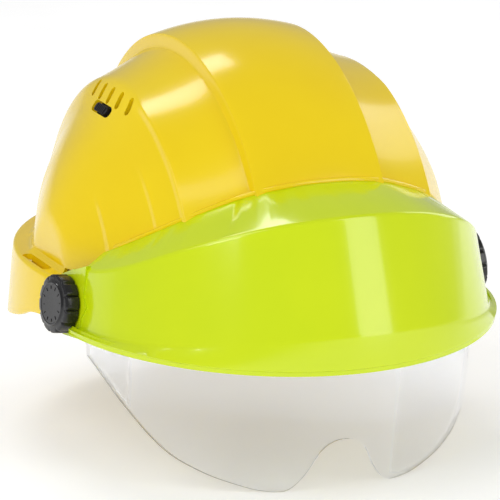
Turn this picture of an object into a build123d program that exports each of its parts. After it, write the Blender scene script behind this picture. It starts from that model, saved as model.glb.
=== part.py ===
"""Industrial hard hat with a flip-down eye visor under a brow cover.

Millimetres, +Z up as worn, -Y is the face, +X is the wearer's left. The origin is the centre
of the head opening, on the level of the band that goes round the head.
"""

import os
from math import acos, cos, pi, radians, sin, tan

from build123d import *

os.makedirs("parts", exist_ok=True)

SIDES = {"right": -1, "left": 1}

# ---- driving dimensions ---------------------------------------------------------------------
WALL = 2.8  # shell thickness
CREST_X = 34.5  # half-width of the raised crest
SHOULDER_X = 66.5  # outer edge of the shoulder lobe
# Each lobe is a row of cross-sections: distance from the middle, half-length, height
CREST = ((-CREST_X, 122.4, 119.2), (0.0, 124.2, 124.4), (CREST_X, 122.4, 119.2))
SHOULDER = ((CREST_X, 119.0, 112.6), (50.0, 112.0, 104.7), (SHOULDER_X, 103.1, 98.8))
FLANK = (
    (SHOULDER_X, 101.1, 94.9),
    (78.0, 81.0, 79.4),
    (90.0, 58.0, 63.4),
    (99.0, 38.0, 46.5),
    (104.0, 24.7, 33.6),
)
FRONT_RIM_Z = -10.0
LEDGE_Z = 10.0  # top of the gutter ledge round the back
SKIRT_TOP = (114.0, 127.0)  # half-width and half-length of the skirt at the ledge
SKIRT_FOOT = (118.0, 131.0)
SKIRT_FOOT_Z = -38.0
SKIRT_START_Y = -17.0  # the skirt begins behind the pivots
SLOT_LENGTH = 32.0  # accessory slot in the ledge
SLOT_WIDTH = 5.0

PIVOT_Y = -36.5
PIVOT_Z = -2.0
SEAT_X = 100.2  # flat seat on the shell for the pivot
VISOR_Y = -38.0  # centre of the visor's and the cover's plan ellipses

LENS_INNER_X = 101.0
LENS_OUTER_X = 103.0
LENS_EAR_R = 13.0
HUB_R = 8.0
RUNNING = 0.05  # radial clearance of the running fits

KNOB_R = 14.7
KNOB_THICK = 8.8
KNOB_FACE_X = 117.5
KNOB_TOE = 7.0  # degrees the knob's axis leans forward
KNOB_LIFT = 7.6  # degrees it leans upward
SCREW_R = 3.0
COVER_THICK = 2.6

VENT_COUNT = 5
VENT_PITCH = 11.5
VENT_MID_Y = 3.0
VENT_WIDTH = 3.9
VENT_Z = (87.2, 94.6)
SHUTTER_TRAVEL_Y = 5.75

BAND_OUTER = (81.0, 101.0)
BAND_THICK = 2.2
BAND_Z = (-8.0, 22.0)
BAND_END_Y = 68.0
STRAP_WIDTH = 20.0
STRAP_THICK = 1.4
CLIP_ANGLES = (38, 142, 218, 322)  # from +X, round to +Y

RATCHET_Z = -16.0
PINION_TEETH = 8
MODULE = 1.6
PRESSURE_ANGLE = radians(30)
PITCH_R = MODULE * PINION_TEETH / 2
TOOTH_PITCH = pi * MODULE
BACKLASH = 0.3
ADDENDUM = 1.1
RACK_ADDENDUM = 1.3
RACK_DEDENDUM = 1.7
RACK_THICK = 2.0
RACK_TRAVEL = PITCH_R * pi / 2
INNER_RACK_Y = 96.4
OUTER_RACK_Y = 98.8


def save(part, name):
    """Labels a finished piece and writes it."""
    part.label = name
    export_step(part, f"parts/{name}.step")


def along(stations, x):
    """Half-length and height between two neighbouring stations of a lobe, or just past its end."""
    pairs = list(zip(stations, stations[1:]))
    low, high = next((p for p in pairs if x <= p[1][0]), pairs[-1])
    t = (x - low[0]) / (high[0] - low[0])
    return low[1] + t * (high[1] - low[1]), low[2] + t * (high[2] - low[2])


def arch(x, half_length, height, drop):
    """A half-ellipse standing on a straight-sided foot, on the plane at x across the hat."""
    with BuildSketch(Plane.YZ.offset(x)) as section:
        with BuildLine():
            EllipticalCenterArc((0, 0), half_length, height, 0, arc_size=180)
            Polyline((-half_length, 0), (-half_length, -drop), (half_length, -drop), (half_length, 0))
        make_face()
    return section.sketch


def lobe(stations, side, drop, mode=Mode.ADD):
    """Lofts one lobe of the dome through its stations, on the side asked for."""
    loft(sections=[arch(side * x, *size, drop) for x, *size in stations], mode=mode)


def knob_axis(side):
    """Outward direction of a knob's axis."""
    return Vector(side, -tan(radians(KNOB_TOE)), tan(radians(KNOB_LIFT))).normalized()


def knob_plane(side, setback):
    """Plane square to a knob's axis, setback behind the knob's outer face."""
    axis = knob_axis(side)
    reach = (KNOB_FACE_X - SEAT_X - 3.0) / abs(axis.X)
    crossing = Vector(side * (SEAT_X + 3.0), PIVOT_Y, PIVOT_Z)
    origin = crossing + axis * (reach - setback)
    return Plane(origin=origin, x_dir=(0, side, 0), z_dir=axis)


def pivot_plane(x, side):
    """Plane across the pivot at |X| = x, its normal pointing outward."""
    return Plane(origin=(side * x, PIVOT_Y, PIVOT_Z), x_dir=(0, side, 0), z_dir=(side, 0, 0))


def clip_places(radius, z):
    """The strap clips' places round the hat, each with its own X axis pointing outward."""
    turns = [(a, radians(a)) for a in CLIP_ANGLES]
    return [Location((radius * cos(t), radius * sin(t), z), (0, 0, a)) for a, t in turns]


# ---- shell ----------------------------------------------------------------------------------
HOLLOW_DROP = 50.0
INNER_CREST = tuple((x * 0.915, b - WALL, c - WALL) for x, b, c in CREST)
INNER_SHOULDER = tuple(
    (x, along(SHOULDER, x + 1.2)[0] - WALL, along(SHOULDER, x + 1.2)[1] - 2.4)
    for x in (26.0, 46.0, SHOULDER_X - WALL)
)
FLANK_SHIFT = 2.2
INNER_FLANK = ((61.5, 100.8, 96.2),) + tuple((x - FLANK_SHIFT, b - 2.0, c - 1.6) for x, b, c in FLANK)
SEAT_THICK = 3.0
SEAT_ARCH = along(FLANK, SEAT_X)
SEAT_BACK_Y = SKIRT_START_Y + 3.0
BOSS_R = 14.0
BOSS_INNER_X = 93.0
NUT_FLAT = 10.0
NUT_THICK = 5.0
NUT_SETBACK = 24.0  # from the knob's outer face to the nut's far face
RIM = ((-20, -12), (-3, -13.7), (11, -18.6), (31, -23.6), (80, -33.5), (134, -37.5))
LUG_RADIUS = 98.5
LUG_SIZE = (6.0, 18.0, 7.0)
LUG_Z = 15.5
TONGUE = (2.0, 12.0)

with BuildPart() as skirt:
    with BuildSketch(Plane.XY.offset(LEDGE_Z)):
        Ellipse(*SKIRT_TOP)
    with BuildSketch(Plane.XY.offset(SKIRT_FOOT_Z)):
        Ellipse(*SKIRT_FOOT)
    loft()
    with BuildSketch(Plane.XY.offset(SKIRT_FOOT_Z - 1)):
        with Locations((0, SKIRT_START_Y - 100)):
            Rectangle(300, 200)
    extrude(amount=80, mode=Mode.SUBTRACT)

with BuildPart() as skirt_hollow:
    with BuildSketch(Plane.XY.offset(LEDGE_Z - 3)):
        Ellipse(SKIRT_TOP[0] - 3, SKIRT_TOP[1] - 3)
    with BuildSketch(Plane.XY.offset(SKIRT_FOOT_Z - 1)):
        Ellipse(SKIRT_FOOT[0] - WALL, SKIRT_FOOT[1] - WALL)
    loft()
    with BuildSketch(Plane.XY.offset(SKIRT_FOOT_Z - 2)):
        with Locations((0, SEAT_BACK_Y - 100)):
            Rectangle(300, 200)
    extrude(amount=80, mode=Mode.SUBTRACT)

with BuildPart() as below_rim:
    with BuildSketch(Plane.YZ):
        with BuildLine():
            rim_line = Spline(*RIM)
            Polyline(rim_line @ 1, (134, -60), (-20, -60), rim_line @ 0)
        make_face()
    extrude(amount=150, both=True)

with BuildPart() as shell:
    lobe(CREST, 1, -FRONT_RIM_Z)
    for side in SIDES.values():
        lobe(SHOULDER, side, -FRONT_RIM_Z)
        lobe(FLANK, side, -FRONT_RIM_Z)
    add(skirt.part)
    lobe(INNER_CREST, 1, HOLLOW_DROP, Mode.SUBTRACT)
    for side in SIDES.values():
        lobe(INNER_SHOULDER, side, HOLLOW_DROP, Mode.SUBTRACT)
        lobe(INNER_FLANK, side, HOLLOW_DROP, Mode.SUBTRACT)
    add(skirt_hollow.part, mode=Mode.SUBTRACT)
    for side in SIDES.values():
        # flat wall behind the pivot seat, and the boss that holds the nut
        with BuildSketch(Plane.YZ.offset(side * (SEAT_X - SEAT_THICK))):
            with BuildLine():
                EllipticalCenterArc((0, 0), *SEAT_ARCH, 0, arc_size=180)
                Polyline(
                    (-SEAT_ARCH[0], 0),
                    (-SEAT_ARCH[0], FRONT_RIM_Z),
                    (SEAT_ARCH[0], FRONT_RIM_Z),
                    (SEAT_ARCH[0], 0),
                )
            make_face()
            with Locations((SEAT_BACK_Y + 100, 0)):
                Rectangle(200, 200, mode=Mode.SUBTRACT)
        extrude(amount=side * SEAT_THICK)
        with BuildSketch(pivot_plane(BOSS_INNER_X, side)):
            Circle(BOSS_R)
        extrude(amount=SEAT_X - BOSS_INNER_X)
        with BuildSketch(Plane.YZ.offset(side * SEAT_X)):
            with Locations((SKIRT_START_Y - 50, 0)):
                Rectangle(100, 160)
        extrude(amount=side * 20, mode=Mode.SUBTRACT)
        # screw hole and nut pocket, square to the knob
        with BuildSketch(knob_plane(side, NUT_SETBACK + 12)):
            Circle(SCREW_R + 0.4)
        extrude(amount=30, mode=Mode.SUBTRACT)
        with BuildSketch(knob_plane(side, NUT_SETBACK)):
            RegularPolygon(NUT_FLAT / 2 + 0.1, 6, major_radius=False)
        extrude(amount=NUT_THICK + 0.1, mode=Mode.SUBTRACT)
        with BuildSketch(knob_plane(side, NUT_SETBACK)):
            Circle(NUT_FLAT * 0.62)
        extrude(amount=-10, mode=Mode.SUBTRACT)
    with Locations(*clip_places(LUG_RADIUS, LUG_Z)):
        Box(*LUG_SIZE)
    with Locations(*clip_places(LUG_RADIUS, LUG_Z)):
        Box(TONGUE[0] + 0.6, TONGUE[1] + 0.6, LUG_SIZE[2] + 2, mode=Mode.SUBTRACT)
    add(below_rim.part, mode=Mode.SUBTRACT)
    # accessory slots in the ledge
    for side in SIDES.values():
        with Locations((side * 108.6, 5, LEDGE_Z)):
            Box(SLOT_WIDTH, SLOT_LENGTH, 12, mode=Mode.SUBTRACT)
    # vents high on each flank
    vent_mid_z = sum(VENT_Z) / 2
    vent_height = VENT_Z[1] - VENT_Z[0]
    for side in SIDES.values():
        with Locations((side * 69, VENT_MID_Y, vent_mid_z)):
            with GridLocations(0, VENT_PITCH, 1, VENT_COUNT):
                Box(14, VENT_WIDTH, vent_height, mode=Mode.SUBTRACT)


# ---- vent shutters --------------------------------------------------------------------------
BUTTON_LENGTH = 15.0
BUTTON_WIDTH = 4.6
BUTTON_HEIGHT = 2.0
BUTTON_GAP = 0.5
NECK = (6.0, 2.4)
POCKET_DEPTH = 1.0
POCKET_MID_Y = 5.5
SHUTTER_INNER = 1.2
SHUTTER_TOP = (63.2, 92.7)
SHUTTER_FOOT = (73.4, 78.9)
SHUTTER_ARC = (-23.0, 26.0)  # degrees from straight up, towards the face and the nape
SHUTTER_TRAVEL = SHUTTER_TRAVEL_Y / 88.0 * 180 / pi  # degrees about the X axis


def vent_plane(side, y):
    """Plane on the flank under the vents, its normal outward and its long way along Y."""
    return Plane(origin=(side * 71.0, y, 84.2), x_dir=(0, 1, 0), z_dir=(side * 0.8, 0, 0.6))


with BuildPart() as vent_pockets:
    for side in SIDES.values():
        with BuildSketch(vent_plane(side, POCKET_MID_Y)):
            SlotOverall(BUTTON_LENGTH + SHUTTER_TRAVEL_Y + 4, BUTTON_WIDTH + 1.6)
        extrude(amount=-POCKET_DEPTH)
        with BuildSketch(vent_plane(side, POCKET_MID_Y)):
            SlotOverall(BUTTON_LENGTH + SHUTTER_TRAVEL_Y + 4, BUTTON_WIDTH + 1.6)
        extrude(amount=5)
        with BuildSketch(vent_plane(side, POCKET_MID_Y)):
            Rectangle(NECK[0] + SHUTTER_TRAVEL_Y + 1.2, NECK[1] + 0.8)
        extrude(amount=-8)
shell.part = shell.part - vent_pockets.part

save(shell.part, "shell")

button_y = POCKET_MID_Y + SHUTTER_TRAVEL_Y / 2
slope = Vector(SHUTTER_FOOT[0] - SHUTTER_TOP[0], SHUTTER_FOOT[1] - SHUTTER_TOP[1])
inward = Vector(slope.Y, -slope.X).normalized() * SHUTTER_INNER
strip = [Vector(*SHUTTER_TOP), Vector(*SHUTTER_FOOT)]
strip += [corner + inward for corner in reversed(strip)]
for name, side in SIDES.items():
    with BuildPart() as shutter_blank:
        with BuildSketch(Plane.XZ):
            Polygon(*[(side * corner.X, corner.Y) for corner in strip], align=None)
        revolve(axis=Axis.X, revolution_arc=SHUTTER_ARC[1] - SHUTTER_ARC[0])
    with BuildPart() as shutter:
        add(shutter_blank.part.rotate(Axis.X, -SHUTTER_ARC[1]))
        with Locations((side * 69, VENT_MID_Y, vent_mid_z)):
            with GridLocations(0, VENT_PITCH, 1, VENT_COUNT):
                Box(20, VENT_WIDTH + 0.6, vent_height + 0.6, mode=Mode.SUBTRACT)
        with BuildSketch(vent_plane(side, button_y)):
            Rectangle(NECK[0] + 0.2, NECK[1] + 0.2)
        extrude(amount=-8, mode=Mode.SUBTRACT)
    save(shutter.part, f"vent_shutter_{name}")

    with BuildPart() as button:
        with BuildSketch(vent_plane(side, button_y).offset(-BUTTON_GAP)):
            SlotOverall(BUTTON_LENGTH, BUTTON_WIDTH)
        extrude(amount=BUTTON_HEIGHT)
        with BuildSketch(vent_plane(side, button_y).offset(BUTTON_HEIGHT - BUTTON_GAP)):
            with GridLocations(1.9, 0, 6, 1):
                Rectangle(0.8, BUTTON_WIDTH - 0.8)
        extrude(amount=0.6)
        with BuildSketch(vent_plane(side, button_y).offset(-BUTTON_GAP)):
            Rectangle(*NECK)
        extrude(amount=-4.6)
    save(button.part, f"vent_button_{name}")


# ---- visor cover ----------------------------------------------------------------------------
# The cover is drawn as upright sections that fan out from the visor's centre.
COVER_TOP = (  # angle round from the front, distance out, height of the top edge
    (0, 70.6, 66.4),
    (20, 74.8, 64.9),
    (27, 77.5, 63.1),
    (40, 80.0, 57.5),
    (51.5, 85.4, 50.6),
    (60, 86.0, 44.5),
    (70, 87.5, 37.0),
    (84, 95.8, 26.0),
)
COVER_UPPER = (104.0, 105.0)  # half-width and half-length of the upper crease in plan
COVER_LOWER = (108.2, 122.5)
COVER_LIP = (113.0, 124.0)
LIP_Z = -16.0
EAR_OUTLINE = ((-13, 23), (8, 20), (19, 11), (16, -3), (10, -12), (-14, -12))
EAR_R = 16.5
LENS_SWEEP = (22.0, 0.4)  # reach round the pivot, and clearance, where the lens swings past


def plan_radius(ellipse, angle):
    """Distance from an ellipse's centre to its edge, angle degrees round from the front."""
    across, along_y = sin(radians(angle)) / ellipse[0], cos(radians(angle)) / ellipse[1]
    return 1 / (across**2 + along_y**2) ** 0.5


def cover_section(angle, top_r, top_z):
    """One closed section of the cover, angle degrees round from the front."""
    out = Vector(sin(radians(angle)), -cos(radians(angle)), 0)
    upper_r, lower_r, lip_r = (plan_radius(e, angle) for e in (COVER_UPPER, COVER_LOWER, COVER_LIP))
    upper_x, lower_x = upper_r * out.X, lower_r * out.X
    upper_z = 58.4 - 0.0023 * upper_x**2 - 1.3e-7 * upper_x**4
    lower_z = 3.0 - 0.0012 * lower_x**2
    outer = [(top_r, top_z), (upper_r, upper_z), (lower_r, lower_z), (lip_r, LIP_Z + 0.0002 * lower_x**2)]
    t = COVER_THICK
    inner = [
        (outer[3][0] - t, outer[3][1]),
        (outer[2][0] - t * 1.02, outer[2][1]),
        (outer[1][0] - t * 0.8, outer[1][1] - t * 0.75),
        (outer[0][0] - t * 0.1, outer[0][1] - t),
    ]
    frame = Plane(origin=(0, VISOR_Y, 0), x_dir=out, z_dir=(out.Y, -out.X, 0))
    with BuildSketch(frame) as section:
        Polygon(*outer, *inner, align=None)
    return section.sketch


def cover_stations():
    """The cover's sections from the right ear round the front to the left ear."""
    right = [cover_section(-angle, r, z) for angle, r, z in reversed(COVER_TOP[1:])]
    left = [cover_section(angle, r, z) for angle, r, z in COVER_TOP]
    return right + left


with BuildPart() as visor_cover:
    loft(sections=cover_stations())
    for side in SIDES.values():
        with BuildSketch(knob_plane(side, KNOB_THICK + 0.3)):
            Circle(EAR_R)
            Polygon(*[(side * y, z) for y, z in EAR_OUTLINE], align=None)
        extrude(amount=-COVER_THICK)
    for side in SIDES.values():
        with BuildSketch(knob_plane(side, KNOB_THICK - 8)):
            Circle(KNOB_R + 0.8)
        extrude(amount=-8.3, mode=Mode.SUBTRACT)
        with BuildSketch(knob_plane(side, 0)):
            Circle(SCREW_R + 0.3)
        extrude(amount=-20, mode=Mode.SUBTRACT)
        with BuildSketch(pivot_plane(LENS_INNER_X, side)):
            Circle(LENS_SWEEP[0])
        extrude(amount=LENS_OUTER_X + LENS_SWEEP[1] - LENS_INNER_X, mode=Mode.SUBTRACT)
save(visor_cover.part, "visor_cover")


# ---- visor lens -----------------------------------------------------------------------------
LENS_THICK = 2.0
LENS_TOP_Z = -6.0
LENS_LEVELS = ((0.0, 103.0, 111.5), (-92.0, 98.0, 89.4))  # height, half-width, half-length
LENS_EDGE = (
    (0, -56.8),
    (7, -58.3),
    (12, -62.6),
    (18, -73.7),
    (26, -82.5),
    (38, -83.0),
    (52, -79.2),
    (66, -73.6),
    (80, -64.3),
    (92, -48),
    (98, -36),
    (101.5, -26),
    (104, -15),
)
LENS_REAR_Y = -6.0  # the sheet ends this far in front of the visor's centre
LENS_EAR = ((-17, -4), (-17, -17), (-4, -13), (-4, 12))

with BuildPart() as lens_core:
    for z, half_width, half_length in LENS_LEVELS:
        with BuildSketch(Plane.XY.offset(z)):
            with Locations((0, VISOR_Y)):
                Ellipse(half_width - LENS_THICK, half_length - LENS_THICK)
    loft()

with BuildPart() as lens_outline:
    with BuildSketch(Plane.XZ.offset(-VISOR_Y - LENS_REAR_Y)):
        with BuildLine():
            left_edge = Spline(*LENS_EDGE, tangents=[(1, 0), (0.6, 1)])
            right_edge = mirror(left_edge, about=Plane.YZ)
            Polyline(left_edge @ 1, (104, LENS_TOP_Z), (-104, LENS_TOP_Z), (-104, LENS_EDGE[-1][1]))
        make_face()
    extrude(amount=150)

with BuildPart() as visor_lens:
    for z, half_width, half_length in LENS_LEVELS:
        with BuildSketch(Plane.XY.offset(z)):
            with Locations((0, VISOR_Y)):
                Ellipse(half_width, half_length)
    loft()
    add(lens_core.part, mode=Mode.SUBTRACT)
    add(lens_outline.part, mode=Mode.INTERSECT)
    for side in SIDES.values():
        ear_face = Plane(origin=(side * LENS_INNER_X, PIVOT_Y, PIVOT_Z), x_dir=(0, 1, 0), z_dir=(1, 0, 0))
        with BuildSketch(ear_face):
            Circle(LENS_EAR_R)
            Polygon(*LENS_EAR, align=None)
        extrude(amount=side * (LENS_OUTER_X - LENS_INNER_X))
        with BuildSketch(pivot_plane(LENS_INNER_X - 5, side)):
            Circle(LENS_EAR_R + 2.5)
        extrude(amount=5, mode=Mode.SUBTRACT)
        with BuildSketch(pivot_plane(LENS_INNER_X - 5, side)):
            Circle(HUB_R + RUNNING)
        extrude(amount=12, mode=Mode.SUBTRACT)
save(visor_lens.part, "visor_lens")


# ---- pivots and knobs -----------------------------------------------------------------------
HUB_FLANGE_R = 10.2
HUB_FLANGE = (103.2, 103.9)
WASHER = (100.3, 100.9)
WASHER_R = 12.0
GRIP_LOBES = 12

for name, side in SIDES.items():
    with BuildPart() as hub:
        with BuildSketch(pivot_plane(SEAT_X, side)):
            Circle(HUB_R)
        extrude(amount=HUB_FLANGE[0] - SEAT_X)
        with BuildSketch(pivot_plane(HUB_FLANGE[0], side)):
            Circle(HUB_FLANGE_R)
        extrude(amount=HUB_FLANGE[1] - HUB_FLANGE[0])
        with BuildSketch(pivot_plane(HUB_FLANGE[1], side)):
            Circle(6.5)
        extrude(amount=4)
        with BuildSketch(knob_plane(side, KNOB_THICK + 0.3 + COVER_THICK)):
            Rectangle(40, 40)
        extrude(amount=12, mode=Mode.SUBTRACT)
        with BuildSketch(knob_plane(side, 0)):
            Circle(SCREW_R + 0.3)
        extrude(amount=-30, mode=Mode.SUBTRACT)
    save(hub.part, f"pivot_hub_{name}")

    with BuildPart() as knob:
        with BuildSketch(knob_plane(side, KNOB_THICK)):
            Circle(KNOB_R)
            with PolarLocations(KNOB_R + 0.35, GRIP_LOBES):
                Circle(1.15, mode=Mode.SUBTRACT)
        extrude(amount=KNOB_THICK - 0.9)
        with BuildSketch(knob_plane(side, 0.9)):
            Circle(11.0)
        extrude(amount=0.9)
        with BuildSketch(knob_plane(side, KNOB_THICK)):
            Circle(SCREW_R)
        extrude(amount=5, mode=Mode.SUBTRACT)
    save(knob.part, f"knob_{name}")

    with BuildPart() as screw:
        with BuildSketch(knob_plane(side, KNOB_THICK - 5)):
            Circle(SCREW_R)
        extrude(amount=-(NUT_SETBACK + 2 - (KNOB_THICK - 5)))
    save(screw.part, f"knob_screw_{name}")

with BuildPart() as washers:
    for side in SIDES.values():
        with BuildSketch(pivot_plane(WASHER[0], side)):
            Circle(WASHER_R)
            Circle(HUB_R + 0.1, mode=Mode.SUBTRACT)
        extrude(amount=WASHER[1] - WASHER[0])
save(washers.part, "friction_washers")

with BuildPart() as nuts:
    for side in SIDES.values():
        with BuildSketch(knob_plane(side, NUT_SETBACK)):
            RegularPolygon(NUT_FLAT / 2, 6, major_radius=False)
            Circle(SCREW_R + RUNNING, mode=Mode.SUBTRACT)
        extrude(amount=NUT_THICK)
save(nuts.part, "pivot_nuts")


# ---- headband -------------------------------------------------------------------------------
BAND_INNER = (BAND_OUTER[0] - BAND_THICK, BAND_OUTER[1] - BAND_THICK)
SWEATBAND_GAP = 0.3
SWEATBAND_THICK = 3.0
SWEATBAND_END_Y = -30.0
SHELF_Z = 6.0
SHELF_SIZE = (9.6, 12.0, 3.0)

with BuildPart() as headband:
    with BuildSketch(Plane.XY.offset(BAND_Z[0])):
        Ellipse(*BAND_OUTER)
        Ellipse(*BAND_INNER, mode=Mode.SUBTRACT)
        with Locations((0, BAND_END_Y + 100)):
            Rectangle(300, 200, mode=Mode.SUBTRACT)
    extrude(amount=BAND_Z[1] - BAND_Z[0])
    with Locations(*clip_places(87.0, SHELF_Z)):
        Box(12, SHELF_SIZE[1] + 0.6, SHELF_SIZE[2] + 0.4, mode=Mode.SUBTRACT)
save(headband.part, "headband")

with BuildPart() as sweatband:
    with BuildSketch(Plane.XY.offset(BAND_Z[0] + 1)):
        Ellipse(BAND_INNER[0] - SWEATBAND_GAP, BAND_INNER[1] - SWEATBAND_GAP)
        Ellipse(
            BAND_INNER[0] - SWEATBAND_GAP - SWEATBAND_THICK,
            BAND_INNER[1] - SWEATBAND_GAP - SWEATBAND_THICK,
            mode=Mode.SUBTRACT,
        )
        with Locations((0, SWEATBAND_END_Y + 100)):
            Rectangle(300, 200, mode=Mode.SUBTRACT)
    extrude(amount=BAND_Z[1] - BAND_Z[0] - 2)
save(sweatband.part, "sweatband")


# ---- crown straps and their clips -----------------------------------------------------------
STRAP_RADIUS = 94.9
STRAP_FOOT_Z = -4.0
STRAP_TOP = {"lower": 84.0, "upper": 86.0}
STRAP_TURN = {"lower": CLIP_ANGLES[0], "upper": CLIP_ANGLES[1]}
CLIP_RADIAL = (95.6, 98.6)
CLIP_WIDTH = 25.0
CLIP_Z = (-10.0, 11.6)

for name, top in STRAP_TOP.items():
    turn = radians(STRAP_TURN[name])
    across = Vector(cos(turn), sin(turn), 0)
    with BuildPart() as strap:
        with BuildSketch(Plane(origin=(0, 0, 0), x_dir=across, z_dir=across.cross(Vector(0, 0, 1)))):
            with BuildLine():
                EllipticalCenterArc((0, 0), STRAP_RADIUS, top, 0, arc_size=180)
                EllipticalCenterArc((0, 0), STRAP_RADIUS - STRAP_THICK, top - STRAP_THICK, 0, arc_size=180)
                Line((STRAP_RADIUS - STRAP_THICK, 0), (STRAP_RADIUS, 0))
                Line((-STRAP_RADIUS + STRAP_THICK, 0), (-STRAP_RADIUS, 0))
            make_face()
            for end in (-1, 1):
                with Locations((end * (STRAP_RADIUS - STRAP_THICK / 2), STRAP_FOOT_Z / 2)):
                    Rectangle(STRAP_THICK, -STRAP_FOOT_Z)
        extrude(amount=STRAP_WIDTH / 2, both=True)
        with Locations(*clip_places(STRAP_RADIUS, SHELF_Z)):
            Box(12, SHELF_SIZE[1] + 0.4, SHELF_SIZE[2] + 0.4, mode=Mode.SUBTRACT)
    save(strap.part, f"crown_strap_{name}")

with BuildPart() as clips:
    with Locations(*clip_places(sum(CLIP_RADIAL) / 2, sum(CLIP_Z) / 2)):
        Box(CLIP_RADIAL[1] - CLIP_RADIAL[0], CLIP_WIDTH, CLIP_Z[1] - CLIP_Z[0])
    with Locations(*clip_places(LUG_RADIUS - 0.2, CLIP_Z[1])):
        Box(TONGUE[0] - 0.6, TONGUE[1], 14)
    with Locations(*clip_places(CLIP_RADIAL[0] - SHELF_SIZE[0] / 2 + 0.1, SHELF_Z)):
        Box(*SHELF_SIZE)
save(clips.part, "strap_clips")


# ---- ratchet at the nape --------------------------------------------------------------------
HOUSING_HALF = 33.0
RACK_HALF_HEIGHT = 11.0
RACK_END_X = 36.0
PINION_TIP_R = PITCH_R + ADDENDUM
PINION_ROOT_R = PITCH_R - RACK_ADDENDUM - 0.3
WINDOW_HALF = PINION_TIP_R + RACK_TRAVEL + 0.4
RACK_TIP_X = WINDOW_HALF + 3.0
HOUSING_Y = (94.6, 102.6)
HOUSING_WALL = 1.4
COVER_PLATE_Y = (102.8, 104.4)
WHEEL_Y = (104.9, 115.5)
WHEEL_R = 17.0
WHEEL_LOBES = 10
SHAFT_R = 4.0
ARM_HEIGHTS = ((127, 22.0, 6.0), (135, 21.0, 2.0), (144, 20.0, -5.0), (152, 20.0, -11.0))
ARM_ELLIPSE = (BAND_OUTER[0] + 0.8, BAND_OUTER[1] + 0.8)
ARM_THICK = 2.0
SPRING_R = (10.0, 14.0)


def involute(angle):
    """Involute function of a pressure angle in radians."""
    return tan(angle) - angle


def tooth_half_angle(radius):
    """Half the angle that a pinion tooth spans at a radius."""
    at_pitch = pi / 2 / PINION_TEETH - BACKLASH / 4 / PITCH_R
    base = PITCH_R * cos(PRESSURE_ANGLE)
    here = acos(min(1.0, base / radius))
    return at_pitch + involute(PRESSURE_ANGLE) - involute(here)


def pinion_outline():
    """Points round the pinion, with a tooth pointing straight up."""
    base = PITCH_R * cos(PRESSURE_ANGLE)
    radii = (PINION_ROOT_R, base, PITCH_R, PITCH_R + 0.6, PINION_TIP_R)
    flank = [(r, tooth_half_angle(max(r, base))) for r in radii]
    points = []
    for tooth in range(PINION_TEETH):
        middle = pi / 2 + 2 * pi * tooth / PINION_TEETH
        for r, half in flank:
            points.append((r * cos(middle - half), r * sin(middle - half)))
        for r, half in reversed(flank):
            points.append((r * cos(middle + half), r * sin(middle + half)))
    return points


def rack_tooth(centre_x, up):
    """Corners of one rack tooth on the side of the pinion that up names, pointing at the pinion."""
    half = TOOTH_PITCH / 4 - BACKLASH / 4
    tip = half - RACK_ADDENDUM * tan(PRESSURE_ANGLE)
    foot = half + RACK_DEDENDUM * tan(PRESSURE_ANGLE)
    tip_z, foot_z = up * (PITCH_R - RACK_ADDENDUM), up * (PITCH_R + RACK_DEDENDUM + 0.2)
    corners = ((-foot, foot_z), (-tip, tip_z), (tip, tip_z), (foot, foot_z))
    return [(centre_x + offset, z) for offset, z in corners]


def nape_plane(y):
    """Plane across the nape at y, seen from the wearer's head, centred on the pinion."""
    return Plane(origin=(0, y, RATCHET_Z), x_dir=(1, 0, 0), z_dir=(0, -1, 0))


tooth_count = int((WINDOW_HALF - 1) / TOOTH_PITCH)
tooth_places = [(k + 0.5) * TOOTH_PITCH for k in range(-tooth_count, tooth_count)]
for name, side in SIDES.items():
    up = -side
    back = INNER_RACK_Y + RACK_THICK if side < 0 else OUTER_RACK_Y + RACK_THICK
    window_low = -(PINION_TIP_R + 0.4)
    window_high = PITCH_R + RACK_DEDENDUM
    with BuildPart() as rack:
        with BuildSketch(nape_plane(back)):
            with Locations((side * (RACK_END_X - RACK_TIP_X) / 2, 0)):
                Rectangle(RACK_END_X + RACK_TIP_X, 2 * RACK_HALF_HEIGHT)
            with Locations((0, up * (window_high + window_low) / 2)):
                Rectangle(2 * WINDOW_HALF, window_high - window_low, mode=Mode.SUBTRACT)
            for x in tooth_places:
                Polygon(*rack_tooth(x, up), align=None)
        extrude(amount=RACK_THICK)
    save(rack.part, f"rack_{name}")

    stations = []
    for angle, height, z in ARM_HEIGHTS:
        turn = radians(angle)
        out = Vector(sin(turn) * side * ARM_ELLIPSE[1], -cos(turn) * ARM_ELLIPSE[0], 0).normalized()
        x, y = side * ARM_ELLIPSE[0] * sin(turn), -ARM_ELLIPSE[1] * cos(turn)
        place = Vector(x, y, z) + out * (ARM_THICK / 2)
        stations.append((place, out, height))
    rack_end = Vector(side * (RACK_END_X + 0.05), back - RACK_THICK / 2, RATCHET_Z)
    stations.append((rack_end, Vector(0, 1, 0), 2 * RACK_HALF_HEIGHT))
    with BuildPart() as arm:
        faces = []
        for place, out, height in stations:
            forward = out.cross(Vector(0, 0, 1))
            with BuildSketch(Plane(origin=place, x_dir=out, z_dir=forward)) as section:
                Rectangle(ARM_THICK, height)
            faces.append(section.sketch)
        loft(sections=faces, ruled=True)
    save(arm.part, f"band_arm_{name}")

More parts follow.
